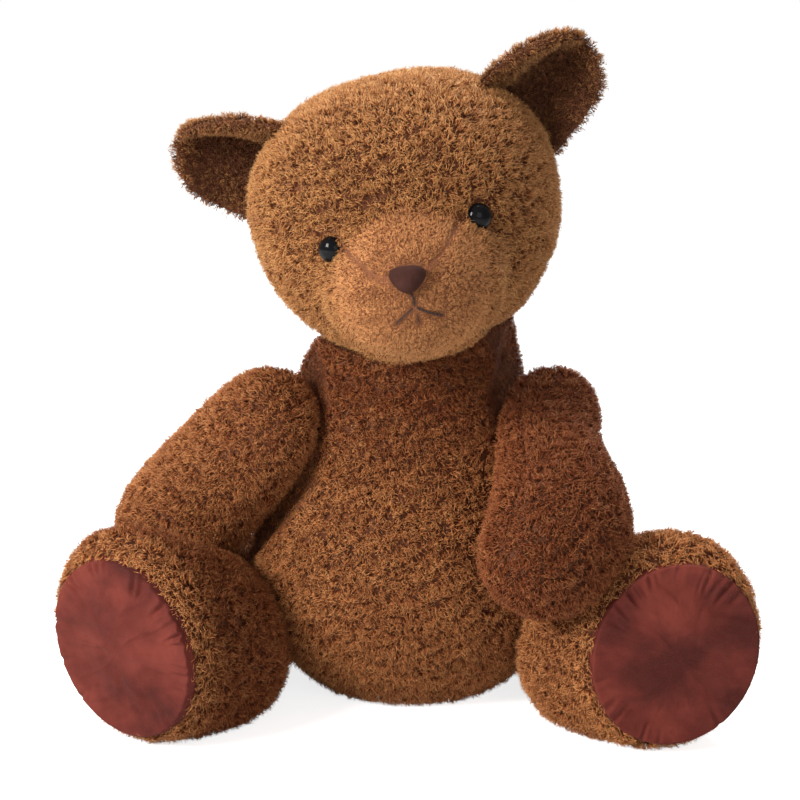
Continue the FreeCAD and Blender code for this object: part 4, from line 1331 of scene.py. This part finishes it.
# ----------------------------------------------------------- the studio
def floor():
    o = make("floor", [(-6000, -6000, 0), (6000, -6000, 0), (6000, 6000, 0), (-6000, 6000, 0)], [(0, 1, 2, 3)], False)
    m = Mat("floor_paper")
    n = m.noise(m.coords(), 3.0)
    m.link(m.ramp(n, [(0.3, (0.90, 0.90, 0.90)), (0.7, (0.93, 0.93, 0.93))]), m.b.inputs["Base Color"])
    m.set(Roughness=0.95)
    lp = m.node("ShaderNodeLightPath")
    em = m.node("ShaderNodeEmission")
    m.link(m.math("MULTIPLY", lp.outputs["Is Camera Ray"], 0.80), em.inputs["Strength"])
    ad = m.node("ShaderNodeAddShader")
    m.link(m.b.outputs[0], ad.inputs[0])
    m.link(em.outputs[0], ad.inputs[1])
    m.link(ad.outputs[0], m.out.inputs[0])
    o.data.materials.append(m.m)


floor()


def area(name, loc, aim, size, power, color=(1, 1, 1)):
    d = bpy.data.lights.new(name, "AREA")
    d.shape = "DISK"
    d.size = size
    d.energy = power
    d.color = color
    o = bpy.data.objects.new(name, d)
    o.location = loc
    o.rotation_euler = (Vector(aim) - Vector(loc)).to_track_quat("-Z", "Y").to_euler()
    bpy.context.scene.collection.objects.link(o)


area("key", (-1.55, -1.15, 1.2), (0, 0, 0.2), 0.8, 52.0, (1.0, 0.975, 0.94))
area("fill", (0.6, -1.8, 0.9), (0, 0, 0.2), 1.2, 5.0, (1.0, 0.98, 0.96))
area("top", (0.25, 0.55, 1.5), (0, 0, 0.2), 1.0, 20.0)

w = bpy.data.worlds.new("studio")
bpy.context.scene.world = w
w.use_nodes = True
t = w.node_tree
t.nodes.clear()
out = t.nodes.new("ShaderNodeOutputWorld")
b1 = t.nodes.new("ShaderNodeBackground")
b2 = t.nodes.new("ShaderNodeBackground")
mx = t.nodes.new("ShaderNodeMixShader")
lp = t.nodes.new("ShaderNodeLightPath")
b1.inputs[0].default_value = (1, 1, 1, 1)
b1.inputs[1].default_value = 0.25
b2.inputs[0].default_value = (1, 1, 1, 1)
b2.inputs[1].default_value = 1.0
t.links.new(lp.outputs["Is Camera Ray"], mx.inputs[0])
t.links.new(b1.outputs[0], mx.inputs[1])
t.links.new(b2.outputs[0], mx.inputs[2])
t.links.new(mx.outputs[0], out.inputs[0])

sc = bpy.context.scene
sc.view_settings.view_transform = "Standard"
sc.view_settings.look = "None"
sc.view_settings.exposure = 0.0

cam = bpy.data.cameras.new("camera")
cam.type = "PERSP"
cam.sensor_width = 36.0
cam.lens = 2184.9 / 800 * 36.0
cam.clip_start, cam.clip_end = 0.05, 50.0
co = bpy.data.objects.new("camera", cam)
el = math.radians(14.0)
fwd = Vector((0, math.cos(el), -math.sin(el)))
target = Vector((-0.006, -0.020, 0.184))
co.location = target - fwd * 1.3
co.rotation_euler = fwd.to_track_quat("-Z", "Y").to_euler()
sc.collection.objects.link(co)
sc.camera = co

print("fibres", sum(len(o[0].data.vertices) // 5 for o in pieces), "pieces", len(pieces))
